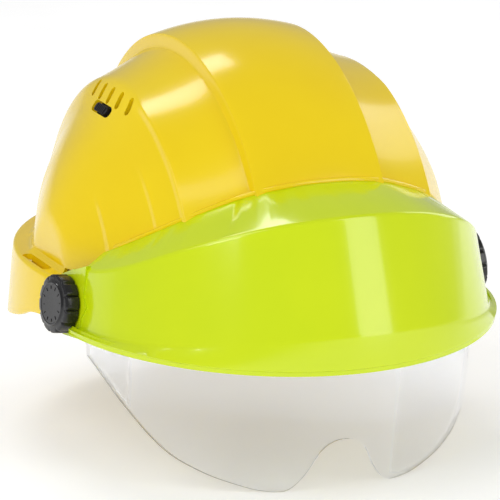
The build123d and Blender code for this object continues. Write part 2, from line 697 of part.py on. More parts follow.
# the hollow that both racks slide in: front to back, and height
RACK_SPACE = (OUTER_RACK_Y + RACK_THICK - INNER_RACK_Y + 0.6, 2 * RACK_HALF_HEIGHT + 0.6)
with BuildPart() as housing:
    with BuildSketch(nape_plane(HOUSING_Y[1])):
        RectangleRounded(2 * HOUSING_HALF, 2 * RACK_HALF_HEIGHT + 4.4, 4)
    extrude(amount=HOUSING_Y[1] - HOUSING_Y[0])
    with Locations((0, (INNER_RACK_Y + OUTER_RACK_Y + RACK_THICK) / 2, RATCHET_Z)):
        Box(2 * HOUSING_HALF + 2, *RACK_SPACE, mode=Mode.SUBTRACT)
    with BuildSketch(nape_plane(HOUSING_Y[1] + 1)):
        Circle(PINION_TIP_R + 0.5)
    extrude(amount=4, mode=Mode.SUBTRACT)
save(housing.part, "ratchet_housing")

with BuildPart() as plate:
    with BuildSketch(nape_plane(COVER_PLATE_Y[1])):
        RectangleRounded(2 * HOUSING_HALF - 6, 2 * RACK_HALF_HEIGHT + 2, 6)
        Circle(SHAFT_R + RUNNING, mode=Mode.SUBTRACT)
    extrude(amount=COVER_PLATE_Y[1] - COVER_PLATE_Y[0])
save(plate.part, "ratchet_cover")

with BuildPart() as pinion:
    with BuildSketch(nape_plane(HOUSING_Y[1] - HOUSING_WALL)):
        Polygon(*pinion_outline(), align=None)
    extrude(amount=HOUSING_Y[1] - HOUSING_WALL - INNER_RACK_Y)
    with BuildSketch(nape_plane(WHEEL_Y[1] - 4)):
        Circle(SHAFT_R)
    extrude(amount=WHEEL_Y[1] - 4 - (HOUSING_Y[1] - HOUSING_WALL))
save(pinion.part, "ratchet_pinion")

with BuildPart() as wheel:
    with BuildSketch(nape_plane(WHEEL_Y[1])):
        Circle(WHEEL_R)
        with PolarLocations(WHEEL_R + 1.2, WHEEL_LOBES):
            Circle(3.0, mode=Mode.SUBTRACT)
    extrude(amount=WHEEL_Y[1] - WHEEL_Y[0])
    with BuildSketch(nape_plane(WHEEL_Y[0] + 1.6)):
        Circle(SPRING_R[1] + 0.6)
        Circle(SPRING_R[0] - 0.6, mode=Mode.SUBTRACT)
    extrude(amount=2, mode=Mode.SUBTRACT)
    with BuildSketch(nape_plane(WHEEL_Y[1] - 4)):
        Circle(SHAFT_R)
    extrude(amount=WHEEL_Y[1] - WHEEL_Y[0], mode=Mode.SUBTRACT)
save(wheel.part, "ratchet_wheel")

with BuildPart() as spring:
    with BuildSketch(nape_plane(WHEEL_Y[0] + 1.0)):
        Circle(SPRING_R[1])
        Circle(SPRING_R[0], mode=Mode.SUBTRACT)
        Rectangle(3, 40, rotation=20, mode=Mode.SUBTRACT)
    extrude(amount=WHEEL_Y[0] + 1.0 - COVER_PLATE_Y[1])
save(spring.part, "ratchet_spring")

with BuildPart() as nape_pad:
    with BuildSketch(nape_plane(HOUSING_Y[0] - 0.3)):
        RectangleRounded(2 * HOUSING_HALF - 6, 2 * RACK_HALF_HEIGHT + 2, 7)
    extrude(amount=5)
save(nape_pad.part, "nape_pad")
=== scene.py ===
"""Looks for the hard hat with a flip-down eye visor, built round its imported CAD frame.

Metres in Blender; the named sizes are millimetres, in the CAD's own frame: +Z up as worn,
-Y is the face, +X is the wearer's left.
"""

from math import acos, asin, atan2, cos, floor, hypot, pi, radians, sin, sqrt, tan

import bmesh
import bpy
from mathutils import Matrix, Vector


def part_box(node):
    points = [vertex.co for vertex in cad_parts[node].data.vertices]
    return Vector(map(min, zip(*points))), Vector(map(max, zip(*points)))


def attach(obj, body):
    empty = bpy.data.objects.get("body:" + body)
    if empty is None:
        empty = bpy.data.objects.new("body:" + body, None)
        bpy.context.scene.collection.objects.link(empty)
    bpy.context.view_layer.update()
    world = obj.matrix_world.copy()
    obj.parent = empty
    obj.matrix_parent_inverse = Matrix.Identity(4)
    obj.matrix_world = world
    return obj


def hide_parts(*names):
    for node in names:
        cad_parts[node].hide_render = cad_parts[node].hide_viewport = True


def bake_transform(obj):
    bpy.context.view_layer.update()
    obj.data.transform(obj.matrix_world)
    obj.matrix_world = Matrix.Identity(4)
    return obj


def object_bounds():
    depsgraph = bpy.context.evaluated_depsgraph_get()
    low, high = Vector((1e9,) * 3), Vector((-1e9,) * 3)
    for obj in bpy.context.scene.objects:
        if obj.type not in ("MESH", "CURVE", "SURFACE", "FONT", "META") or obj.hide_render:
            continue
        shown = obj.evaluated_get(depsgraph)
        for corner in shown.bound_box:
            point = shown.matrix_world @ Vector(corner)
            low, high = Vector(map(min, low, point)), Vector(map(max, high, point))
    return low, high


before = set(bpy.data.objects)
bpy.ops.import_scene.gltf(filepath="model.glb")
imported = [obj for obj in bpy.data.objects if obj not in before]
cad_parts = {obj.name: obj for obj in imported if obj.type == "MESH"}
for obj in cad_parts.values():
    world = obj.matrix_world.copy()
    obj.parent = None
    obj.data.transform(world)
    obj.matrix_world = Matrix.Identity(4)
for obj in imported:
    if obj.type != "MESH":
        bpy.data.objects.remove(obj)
cad_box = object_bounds()

MM = 0.001
SIDES = {"right": -1, "left": 1}

# ---- sizes repeated from the CAD --------------------------------------------------------------
WALL = 2.8
CREST_X = 34.5
SHOULDER_X = 66.5
SIDE_X = 104.0
CREST = ((-CREST_X, 122.4, 119.2), (0.0, 124.2, 124.4), (CREST_X, 122.4, 119.2))
SHOULDER = ((CREST_X, 119.0, 112.6), (50.0, 112.0, 104.7), (SHOULDER_X, 103.1, 98.8))
FLANK = (
    (SHOULDER_X, 101.1, 94.9),
    (78.0, 81.0, 79.4),
    (90.0, 58.0, 63.4),
    (99.0, 38.0, 46.5),
    (SIDE_X, 24.7, 33.6),
)
FOOT_Z = -10.0
LEDGE_Z = 10.0
LEDGE_THICK = 3.0
SKIRT_TOP = (114.0, 127.0)
SKIRT_FOOT = (118.0, 131.0)
SKIRT_FOOT_Z = -38.0
SKIRT_START_Y = -17.0
RIM = ((-20, -12), (-3, -13.7), (11, -18.6), (31, -23.6), (80, -33.5), (134, -37.5))
SLOT_SIZE = (5.0, 32.0)
SLOT_PLACE = (108.6, 5.0)
SEAT_X = 100.2
PIVOT = (-36.5, -2.0)
VISOR_Y = -38.0
KNOB_R = 14.7
KNOB_THICK = 8.8
KNOB_FACE_X = 117.5
KNOB_TOE = 7.0
KNOB_LIFT = 7.6
COVER_THICK = 2.6
VENT_PITCH = 11.5
VENT_MID_Y = 3.0
VENT_WIDTH = 3.9
VENT_Z = (87.2, 94.6)
POCKET_MID_Y = 5.5
POCKET_SIZE = (24.75, 6.2)
BAND_OUTER = (81.0, 101.0)
BAND_THICK = 2.2
BAND_Z = (-8.0, 22.0)
STRAP_RADIUS = 94.9
STRAP_THICK = 1.4
STRAP_TOP = {"lower": 84.0, "upper": 86.0}
STRAP_TURN = {"lower": 38, "upper": 142}


# ---- mesh helpers -----------------------------------------------------------------------------
HARD_SHARP = 32  # degrees between faces above which a moulded piece's edge stays sharp
SOFT_SHARP = 60  # the same for a fabric piece
BEVEL_SEGMENTS = 3
BEVEL_ANGLE = 38  # degrees between faces above which an edge is rounded
SHARP_AFTER_BEVEL = 50
WELD = 1e-6  # metres within which points are one
BELL_BASE = 2.718  # near e
CORNERS = ((-1, -1), (1, -1), (1, 1), (-1, 1))


def link(name, mesh, body, smooth_angle=HARD_SHARP):
    """A new piece with that mesh, riding on a body."""
    piece = bpy.data.objects.new(name, mesh)
    bpy.context.scene.collection.objects.link(piece)
    mesh.shade_smooth()
    mesh.set_sharp_from_angle(angle=radians(smooth_angle))
    if body:
        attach(piece, body)
    return piece


def mesh_from(name, points, faces):
    """A mesh of those points, given in millimetres, with its faces turned outward."""
    mesh = bpy.data.meshes.new(name)
    mesh.from_pydata([[c * MM for c in p] for p in points], [], faces)
    work = bmesh.new()
    work.from_mesh(mesh)
    bmesh.ops.remove_doubles(work, verts=work.verts, dist=WELD)
    bmesh.ops.dissolve_degenerate(work, edges=work.edges, dist=WELD)
    bmesh.ops.recalc_face_normals(work, faces=work.faces)
    work.to_mesh(mesh)
    work.free()
    return mesh


def slab(name, outer, inner):
    """Closed mesh between two grids of points with the same rows and columns."""
    rows, columns = len(outer), len(outer[0])
    points = [p for row in outer for p in row] + [p for row in inner for p in row]
    half = rows * columns
    faces = []
    for i in range(rows - 1):
        for j in range(columns - 1):
            a = i * columns + j
            quad = (a, a + 1, a + columns + 1, a + columns)
            faces.append(quad)
            faces.append(tuple(half + k for k in reversed(quad)))
    rim = [i * columns for i in range(rows)]
    rim += [(rows - 1) * columns + j for j in range(1, columns)]
    rim += [i * columns + columns - 1 for i in range(rows - 2, -1, -1)]
    rim += [j for j in range(columns - 2, 0, -1)]
    for a, b in zip(rim, rim[1:] + rim[:1]):
        faces.append((a, b, half + b, half + a))
    return mesh_from(name, points, faces)


def sweep(name, loops):
    """Closed mesh through a row of closed loops, with flat ends."""
    size = len(loops[0])
    points = [p for loop in loops for p in loop]
    faces = []
    for i in range(len(loops) - 1):
        for j in range(size):
            k = (j + 1) % size
            faces.append((i * size + j, i * size + k, (i + 1) * size + k, (i + 1) * size + j))
    last = (len(loops) - 1) * size
    faces.append(tuple(range(size)))
    faces.append(tuple(last + j for j in reversed(range(size))))
    return mesh_from(name, points, faces)


def block(name, centre, size, turn=Matrix.Identity(3)):
    """A rectangular cutter's mesh."""
    loops = []
    for z in (-1, 1):
        offsets = (Vector((x * size[0], y * size[1], z * size[2])) / 2 for x, y in CORNERS)
        loops.append([Vector(centre) + turn @ offset for offset in offsets])
    return sweep(name, loops)


def stadium(name, centre, length, width, reach, turn, steps=8):
    """A round-ended slot's mesh: long along local X, cut along local Z by reach = (low, high)."""
    outline = []
    for end in (1, -1):
        for k in range(steps + 1):
            angle = -pi / 2 + pi * k / steps
            across = width / 2 * sin(angle)
            along = (length - width) / 2 + width / 2 * cos(angle)
            outline.append((end * along, end * across))
    loops = [[Vector(centre) + turn @ Vector((x, y, z)) for x, y in outline] for z in reach]
    return sweep(name, loops)


def merge(name, meshes):
    """One mesh of several that don't touch."""
    work = bmesh.new()
    for mesh in meshes:
        work.from_mesh(mesh)
    merged = bpy.data.meshes.new(name)
    work.to_mesh(merged)
    work.free()
    return merged


def turned(name, place, turn, profile, radius_at, steps):
    """Closed mesh of revolution round local Z at place. The profile is (height, radius, lobing)
    from one centre to the other; radius_at(radius, angle, lobing) gives the real radius."""
    points, faces, rings = [], [], []
    for height, radius, lobing in profile:
        if radius == 0:
            rings.append([len(points)] * steps)
            points.append(Vector(place) + turn @ Vector((0, 0, height)))
            continue
        rings.append(list(range(len(points), len(points) + steps)))
        for j in range(steps):
            angle = 2 * pi * j / steps
            reach = radius_at(radius, angle, lobing)
            offset = Vector((reach * cos(angle), reach * sin(angle), height))
            points.append(Vector(place) + turn @ offset)
    for low, high in zip(rings, rings[1:]):
        for j in range(steps):
            k = (j + 1) % steps
            corners = (low[j], low[k], high[k], high[j])
            faces.append(tuple(dict.fromkeys(corners)))
    return mesh_from(name, points, faces)


def even(radius, angle, lobing):
    """Radius of a plain round piece, in the form that turned asks for."""
    return radius


def rounded(points, radii, steps=5):
    """An open line with its inner corners rounded."""
    line = [Vector(points[0])]
    for i in range(1, len(points) - 1):
        before, here, after = (Vector(p) for p in points[i - 1 : i + 2])
        reach = min(radii[i - 1], (here - before).length * 0.45, (after - here).length * 0.45)
        start = here + (before - here).normalized() * reach
        end = here + (after - here).normalized() * reach
        for k in range(steps + 1):
            t = k / steps
            line.append(start * (1 - t) ** 2 + here * 2 * t * (1 - t) + end * t * t)
    line.append(Vector(points[-1]))
    return line


def beside(line, distance):
    """The line moved sideways by a distance, to the left of its own direction."""
    moved = []
    for i, here in enumerate(line):
        along = line[min(i + 1, len(line) - 1)] - line[max(i - 1, 0)]
        along.normalize()
        moved.append(here + Vector((-along.y, along.x)) * distance)
    return moved


def boolean(mesh, cutter, operation="DIFFERENCE"):
    """The mesh after one exact boolean with the cutter's mesh."""
    target = bpy.data.objects.new("boolean_target", mesh)
    tool = bpy.data.objects.new("boolean_tool", cutter)
    for thing in (target, tool):
        bpy.context.scene.collection.objects.link(thing)
    step = target.modifiers.new("boolean", "BOOLEAN")
    step.object = tool
    step.operation = operation
    step.solver = "EXACT"
    graph = bpy.context.evaluated_depsgraph_get()
    result = bpy.data.meshes.new_from_object(target.evaluated_get(graph))
    for thing in (target, tool):
        bpy.data.objects.remove(thing)
    return result


def soften(piece, width):
    """Rounds the piece's sharp edges by a bevel, applied to its mesh."""
    step = piece.modifiers.new("soften", "BEVEL")
    step.width = width * MM
    step.segments = BEVEL_SEGMENTS
    step.limit_method = "ANGLE"
    step.angle_limit = radians(BEVEL_ANGLE)
    step.use_clamp_overlap = True
    step.harden_normals = False
    graph = bpy.context.evaluated_depsgraph_get()
    piece.data = bpy.data.meshes.new_from_object(piece.evaluated_get(graph))
    piece.modifiers.clear()
    piece.data.shade_smooth()
    piece.data.set_sharp_from_angle(angle=radians(SHARP_AFTER_BEVEL))
    return piece


def ease(low, high, value):
    """Smooth step from 0 at low to 1 at high."""
    t = min(1.0, max(0.0, (value - low) / (high - low)))
    return t * t * (3 - 2 * t)


def bell(offset, width):
    """Smooth bump: 1 at no offset, about a third at the width, then towards 0."""
    return BELL_BASE ** (-((offset / width) ** 2))


def curve_at(stations, x):
    """The stations' other values at x, by a smooth curve through all of them."""
    count = len(stations)
    i = max(0, min(count - 2, sum(1 for s in stations[1:] if s[0] < x)))
    low, high = stations[i], stations[i + 1]
    width = high[0] - low[0]
    t = (x - low[0]) / width
    values = []
    for k in range(1, len(low)):
        slopes = [(b[k] - a[k]) / (b[0] - a[0]) for a, b in zip(stations, stations[1:])]
        here = slopes[i]
        before = (slopes[i - 1] + here) / 2 if i > 0 else None
        after = (slopes[i + 1] + here) / 2 if i + 2 < count else None
        start = before if before is not None else 2 * here - after
        end = after if after is not None else 2 * here - before
        values.append(
            low[k] * (1 + 2 * t) * (1 - t) ** 2
            + high[k] * t * t * (3 - 2 * t)
            + width * (start * t * (1 - t) ** 2 + end * t * t * (t - 1))
        )
    return values


# ---- materials --------------------------------------------------------------------------------
CLOUD_SCALE = 14  # slow change of tone
CLOUD_EDGES = (0.35, 0.65)
ROUGH_SPREAD = (0.85, 1.2)
GRAIN_RELIEF = 0.0004  # metres
THREAD_RELIEF = 0.0005
THREAD_WOBBLE = 1.2
THREAD_GRAIN = 900
THREAD_SHADE = 0.45
CLOTH_SHEEN = 0.3
SMEAR_SCALE = 22
SMEAR_ROUGH = (0.02, 0.07)
LENS_TINTS = ((0.80, 0.82, 0.87, 1), (0.84, 0.86, 0.91, 1))
LENS_IOR = 1.3
LENS_ALPHA = 0.5


def plastic(name, colour, shade, rough, grain, bump, coat, metallic):
    """A moulded material: two close tones in soft clouds, fine grain in roughness and relief."""
    made = bpy.data.materials.new(name)
    made.use_nodes = True
    nodes, links = made.node_tree.nodes, made.node_tree.links
    shader = nodes["Principled BSDF"]
    place = nodes.new("ShaderNodeTexCoord")
    clouds = nodes.new("ShaderNodeTexNoise")
    clouds.inputs["Scale"].default_value = CLOUD_SCALE
    clouds.inputs["Detail"].default_value = 3
    tones = nodes.new("ShaderNodeValToRGB")
    tones.color_ramp.elements[0].position = CLOUD_EDGES[0]
    tones.color_ramp.elements[0].color = (*shade, 1)
    tones.color_ramp.elements[1].position = CLOUD_EDGES[1]
    tones.color_ramp.elements[1].color = (*colour, 1)
    fine = nodes.new("ShaderNodeTexNoise")
    fine.inputs["Scale"].default_value = grain
    fine.inputs["Detail"].default_value = 4
    gloss = nodes.new("ShaderNodeMapRange")
    gloss.inputs["To Min"].default_value = rough * ROUGH_SPREAD[0]
    gloss.inputs["To Max"].default_value = rough * ROUGH_SPREAD[1]
    relief = nodes.new("ShaderNodeBump")
    relief.inputs["Strength"].default_value = bump
    relief.inputs["Distance"].default_value = GRAIN_RELIEF
    links.new(place.outputs["Object"], clouds.inputs["Vector"])
    links.new(place.outputs["Object"], fine.inputs["Vector"])
    links.new(clouds.outputs["Fac"], tones.inputs["Fac"])
    links.new(tones.outputs["Color"], shader.inputs["Base Color"])
    links.new(fine.outputs["Fac"], gloss.inputs["Value"])
    links.new(gloss.outputs["Result"], shader.inputs["Roughness"])
    links.new(fine.outputs["Fac"], relief.inputs["Height"])
    links.new(relief.outputs["Normal"], shader.inputs["Normal"])
    shader.inputs["Coat Weight"].default_value = coat
    shader.inputs["Specular IOR Level"].default_value = 0.4
    shader.inputs["Coat Roughness"].default_value = 0.04
    shader.inputs["Metallic"].default_value = metallic
    return made


def cloth(name, colour, shade, across, depth, rough):
    """A woven material: crossed threads in colour and relief; across sets how fine they are."""
    made = plastic(name, colour, shade, rough, THREAD_GRAIN, 0.1, 0.0, 0.0)
    nodes, links = made.node_tree.nodes, made.node_tree.links
    shader = nodes["Principled BSDF"]
    place = nodes.new("ShaderNodeTexCoord")
    heights = []
    for direction in ("DIAGONAL", "Z"):
        threads = nodes.new("ShaderNodeTexWave")
        threads.wave_type = "BANDS"
        threads.bands_direction = direction
        threads.inputs["Scale"].default_value = across
        threads.inputs["Distortion"].default_value = THREAD_WOBBLE
        threads.inputs["Detail"].default_value = 2
        links.new(place.outputs["Object"], threads.inputs["Vector"])
        heights.append(threads)
    weave = nodes.new("ShaderNodeMath")
    weave.operation = "MAXIMUM"
    links.new(heights[0].outputs["Fac"], weave.inputs[0])
    links.new(heights[1].outputs["Fac"], weave.inputs[1])
    mixed = nodes.new("ShaderNodeMix")
    mixed.data_type = "RGBA"
    mixed.blend_type = "MULTIPLY"
    mixed.inputs[0].default_value = THREAD_SHADE
    ramp = next(n for n in nodes if n.type == "VALTORGB")
    links.new(ramp.outputs["Color"], mixed.inputs[6])
    links.new(weave.outputs["Value"], mixed.inputs[7])
    links.new(mixed.outputs[2], shader.inputs["Base Color"])
    relief = nodes.new("ShaderNodeBump")
    relief.inputs["Strength"].default_value = depth
    relief.inputs["Distance"].default_value = THREAD_RELIEF
    links.new(weave.outputs["Value"], relief.inputs["Height"])
    links.new(relief.outputs["Normal"], shader.inputs["Normal"])
    shader.inputs["Sheen Weight"].default_value = CLOTH_SHEEN
    return made


PLASTICS = {  # two tones, roughness, scale of the grain, its relief, coat, metallic
    "shell_yellow": ((0.95, 0.7, 0.004), (0.92, 0.66, 0.003), 0.17, 900, 0.006, 0.15, 0.0),
    "cover_lime": ((0.66, 0.8, 0.003), (0.62, 0.77, 0.002), 0.16, 900, 0.006, 0.4, 0.0),
    "knob_black": ((0.013, 0.013, 0.015), (0.008, 0.008, 0.009), 0.24, 1400, 0.06, 0.2, 0.0),
    "screw_steel": ((0.62, 0.62, 0.63), (0.5, 0.5, 0.52), 0.28, 1800, 0.05, 0.0, 1.0),
    "hub_nylon": ((0.62, 0.61, 0.57), (0.52, 0.51, 0.48), 0.42, 1200, 0.06, 0.0, 0.0),
    "washer_rubber": ((0.03, 0.03, 0.03), (0.018, 0.018, 0.018), 0.75, 1600, 0.2, 0.0, 0.0),
    "nut_brass": ((0.78, 0.56, 0.22), (0.66, 0.46, 0.17), 0.25, 1500, 0.05, 0.0, 1.0),
    "vent_black": ((0.025, 0.025, 0.028), (0.014, 0.014, 0.015), 0.36, 1500, 0.08, 0.0, 0.0),
    "harness_plastic": ((0.045, 0.047, 0.05), (0.03, 0.031, 0.034), 0.48, 1300, 0.12, 0.0, 0.0),
    "spring_steel": ((0.55, 0.56, 0.58), (0.42, 0.43, 0.45), 0.3, 1500, 0.05, 0.0, 1.0),
}
CLOTHS = {  # two tones, scale of the weave, its relief, roughness
    "webbing": ((0.1, 0.1, 0.11), (0.06, 0.06, 0.065), 420, 0.6, 0.7),
    "sweatband_fabric": ((0.05, 0.05, 0.055), (0.03, 0.03, 0.033), 300, 0.5, 0.85),
    "pad_fabric": ((0.07, 0.07, 0.078), (0.045, 0.045, 0.05), 260, 0.5, 0.85),
}
MATERIALS = {name: plastic(name, *values) for name, values in PLASTICS.items()}
MATERIALS |= {name: cloth(name, *values) for name, values in CLOTHS.items()}


def clear_plastic(name):
    """Clear sheet that lets lamps through, with a faint grey tint and smears in its gloss."""
    made = bpy.data.materials.new(name)
    made.use_nodes = True
    nodes, links = made.node_tree.nodes, made.node_tree.links
    shader = nodes["Principled BSDF"]
    place = nodes.new("ShaderNodeTexCoord")
    smears = nodes.new("ShaderNodeTexNoise")
    smears.inputs["Scale"].default_value = SMEAR_SCALE
    smears.inputs["Detail"].default_value = 5
    gloss = nodes.new("ShaderNodeMapRange")
    gloss.inputs["To Min"].default_value = SMEAR_ROUGH[0]
    gloss.inputs["To Max"].default_value = SMEAR_ROUGH[1]
    tint = nodes.new("ShaderNodeValToRGB")
    tint.color_ramp.elements[0].color = LENS_TINTS[0]
    tint.color_ramp.elements[1].color = LENS_TINTS[1]
    links.new(place.outputs["Object"], smears.inputs["Vector"])
    links.new(smears.outputs["Fac"], gloss.inputs["Value"])
    links.new(smears.outputs["Fac"], tint.inputs["Fac"])
    links.new(gloss.outputs["Result"], shader.inputs["Roughness"])
    links.new(tint.outputs["Color"], shader.inputs["Base Color"])
    shader.inputs["IOR"].default_value = LENS_IOR
    shader.inputs["Transmission Weight"].default_value = 1.0
    shader.inputs["Alpha"].default_value = LENS_ALPHA
    shader.inputs["Coat Weight"].default_value = 0.4
    return made


MATERIALS["lens_clear"] = clear_plastic("lens_clear")


def dress(piece, slot):
    """Gives the piece the slot's material and no other."""
    piece.data.materials.clear()
    piece.data.materials.append(MATERIALS[slot])
    return piece


# ---- shell dome -------------------------------------------------------------------------------
THETA_STEPS = 150
FRONT_STEP_FADE = (44.0, 62.0)  # degrees up from the rim over which the front steps fade out
STEP_HEIGHT = 1.0
EDGES = (CREST_X, SHOULDER_X, 75.3, 91.4)


def step_width(edge, theta):
    """Half-width of the rounded step at an edge; the outer steps go soft towards the top."""
    if edge == CREST_X:
        return 0.65
    if edge == SHOULDER_X:
        return 0.55 + 6.0 * ease(70, 92, theta)
    return 0.5 + 1.4 * ease(48, 62, theta)


def past(edge, x, theta, inner):
    """How far x has gone down the step at an edge, from 0 to 1."""
    width = step_width(edge, theta)
    middle = edge
    if inner:
        width, middle = INNER_STEP[0], edge - INNER_STEP[1]
    return ease(middle - width, middle + width, x)


def dome_size(x, theta, inner=False):
    """Half-length and height of the dome's cross-section at x, theta degrees up from the front."""
    crest, shoulder, flank = curve_at(CREST, x), curve_at(SHOULDER, x), curve_at(FLANK, x)
    one, two = past(CREST_X, x, theta, inner), past(SHOULDER_X, x, theta, inner)
    size = [a + (b - a) * one for a, b in zip(crest, shoulder)]
    size = [a + (b - a) * two for a, b in zip(size, flank)]
    if inner or x < SHOULDER_X - 2:
        return size
    up = min(theta, 180 - theta)
    fade = 1 - ease(*FRONT_STEP_FADE, up)
    if theta > 90:
        fade *= REAR_FADE
    rise_a = (x - SHOULDER_X) / (EDGES[2] - SHOULDER_X)
    rise_b = 2 * (x - EDGES[2]) / (EDGES[3] - EDGES[2]) - 1
    rise_c = (x - SIDE_X) / (SIDE_X - EDGES[3])
    three, four = past(EDGES[2], x, theta, False), past(EDGES[3], x, theta, False)
    rise = max(0.0, rise_a) * (1 - three) + rise_b * three
    rise = rise * (1 - four) + rise_c * four
    return [value + STEP_HEIGHT * fade * rise for value in size]


def dome_rows():
    """Distances from the middle at which the dome has a row, closer together at the steps."""
    near = (0.12, 0.26, 0.42, 0.6, 1.0, 1.7, 2.8)
    offsets = (*(-offset for offset in near), 0.0, *near)
    places = {edge + offset for edge in EDGES for offset in offsets}
    for k in range(53):
        x = k * 2.0
        if x < SIDE_X - 2.5 and min(abs(x - edge) for edge in EDGES) > 3.2:
            places.add(x)
    return sorted(places)


CAP_ROWS = (  # distance past the side, share of the section's size
    (-1.9, 1.0),
    (-0.9, 0.995),
    (-0.25, 0.97),
    *((0.0, share) for share in (0.93, 0.8, 0.6, 0.35, 0.1)),
)
INNER_STEP = (4.0, 5.5)  # half-width of an inside step, and how far it is inboard of the edge
REAR_FADE = 0.7  # share of the step's height left behind the top
INNER_WALL = WALL + 0.2
LEAST_WALL = (0.55, 0.45)  # share of the wall left on a steep face, in length and height
LEVEL_REACH = 40  # the inside isn't shifted sideways nearer the middle than this
SEAT_WALL = 3.2
SEAT_START_Y = -12  # forward of this the inside keeps clear of the seat
FOOT_ROWS = 3


def dome_line(x, shrink, inner):
    """One row of dome points at x, from the front foot over the top to the back foot."""
    sign = -1 if x < 0 else 1
    reach = abs(x)
    line = []
    for j in range(-FOOT_ROWS, THETA_STEPS + FOOT_ROWS + 1):
        theta = 180 * min(max(j, 0), THETA_STEPS) / THETA_STEPS
        size = dome_size(reach, theta, inner)
        across = reach
        if inner:
            ahead = dome_size(reach + 1, theta, True)
            slope = ahead[1] - size[1]
            lean = hypot(1, slope)
            across = reach + INNER_WALL * slope / lean * (0.0 if reach < LEVEL_REACH else 1.0)
            walls = (INNER_WALL * max(least, 1 / lean) for least in LEAST_WALL)
            size = [value - wall for value, wall in zip(size, walls)]
        y = -size[0] * shrink * cos(radians(theta))
        z = size[1] * shrink * sin(radians(theta))
        if j < 0 or j > THETA_STEPS:
            over = -j if j < 0 else j - THETA_STEPS
            z = FOOT_Z * over / FOOT_ROWS
        if inner and y < SEAT_START_Y:
            across = min(across, SEAT_X - SEAT_WALL)
        line.append((sign * across, y, z))
    return line


rows = [(x, 1.0) for x in dome_rows()] + [(SIDE_X + dx, s) for dx, s in CAP_ROWS]
rows = [(-x, s) for x, s in reversed(rows) if x > 0] + [(x, s) for x, s in rows]
dome = slab(
    "shell_dome",
    [dome_line(x, s, False) for x, s in rows],
    [dome_line(x, s, True) for x, s in rows],
)


def vent_turn(side):
    """Turn whose X runs along the hat and whose Z points out of the flank at the vents."""
    out = Vector((side * 0.8, 0, 0.6))
    long_way = Vector((0, 1, 0))
    return Matrix((long_way, out.cross(long_way), out)).transposed()


def slot_turn(side):
    """Turn whose X runs up the flank and whose Z points out of it at the vent slots."""
    up = Vector((-side * 0.62, 0, 0.785)).normalized()
    out = Vector((side * up.z, 0, -side * up.x)).normalized()
    return Matrix((up, out.cross(up), out)).transposed()


def plan_depth(x, z):
    """Distance forward of the dome's outer face at x and height z."""
    length, height = dome_size(x, 5.0)
    return length * sqrt(max(0.0, 1 - (z / height) ** 2))


def dome_reach(angle, z):
    """Distance out to the dome's face at height z, at a polar angle from +X."""
    slope = abs(tan(angle))
    low, high = 0.0, SIDE_X
    if plan_depth(SIDE_X, z) > SIDE_X * slope:
        return hypot(SIDE_X, SIDE_X * slope)
    for _ in range(40):
        middle = (low + high) / 2
        if plan_depth(middle, z) > middle * slope:
            low = middle
        else:
            high = middle
    return hypot(low, plan_depth(low, z))


def ellipse_reach(axes, angle):
    """Distance from an ellipse's centre to its edge at a polar angle from +X."""
    return 1 / hypot(cos(angle) / axes[0], sin(angle) / axes[1])


def rim_height(y):
    """Height of the shell's lower rim at y."""
    return curve_at(RIM, y)[0]


# ---- gutter and skirt round the back ----------------------------------------------------------
SKIRT_STEPS = 200
LEDGE_START_Y = -25.0  # the ledge runs on this far, to the cover's ear
LEDGE_ROOT = 1.6  # how far the ledge reaches into the dome's wall
LEDGE_ROUND = 2.2
FILLET = (0.6, 3.2, 0.45)  # least and most radius, and its share of the ledge's width


def skirt_loop(angle):
    """Closed section through the ledge and skirt at a polar angle from +X."""
    top, foot = ellipse_reach(SKIRT_TOP, angle), ellipse_reach(SKIRT_FOOT, angle)
    wall = dome_reach(angle, LEDGE_Z - 1)
    y = top * sin(angle)
    rim = rim_height(max(y, SKIRT_START_Y))
    if y < SKIRT_START_Y - 0.5:
        rim = LEDGE_Z - LEDGE_THICK - 1.5
    least, most, share = FILLET
    fillet = min(most, max(least, (top - wall) * share))
    drop = LEDGE_Z - SKIRT_FOOT_Z

    def face(z):
        return top + (foot - top) * (LEDGE_Z - z) / drop

    section = [(wall - LEDGE_ROOT, LEDGE_Z + fillet * 1.15), (wall - 0.1, LEDGE_Z + fillet)]
    for k in range(1, 5):
        bend = pi / 2 * k / 4
        section.append((wall + fillet * (1 - cos(bend)), LEDGE_Z + fillet * (1 - sin(bend))))
    for k in range(5):
        bend = pi / 2 * k / 4
        drawn_in, down = LEDGE_ROUND * (1 - sin(bend)), LEDGE_ROUND * (1 - cos(bend))
        section.append((top - drawn_in, LEDGE_Z - down))
    for k in range(1, 6):
        z = LEDGE_Z - LEDGE_ROUND + (rim + 1.0 - LEDGE_Z + LEDGE_ROUND) * k / 5
        section.append((face(z), z))
    section.append((face(rim) - 0.35, rim + 0.3))
    section.append((face(rim) - 1.2, rim))
    section.append((face(rim) - WALL + 0.6, rim))
    section.append((face(rim) - WALL, rim + 0.6))
    for k in range(1, 6):
        z = rim + 0.6 + (LEDGE_Z - LEDGE_THICK - rim - 0.6) * k / 5
        section.append((max(face(z) - WALL, wall - 1.0 if k == 5 else 0), z))
    section.append((wall - LEDGE_ROOT, LEDGE_Z - LEDGE_THICK))
    return [(r * cos(angle), r * sin(angle), z) for r, z in section]


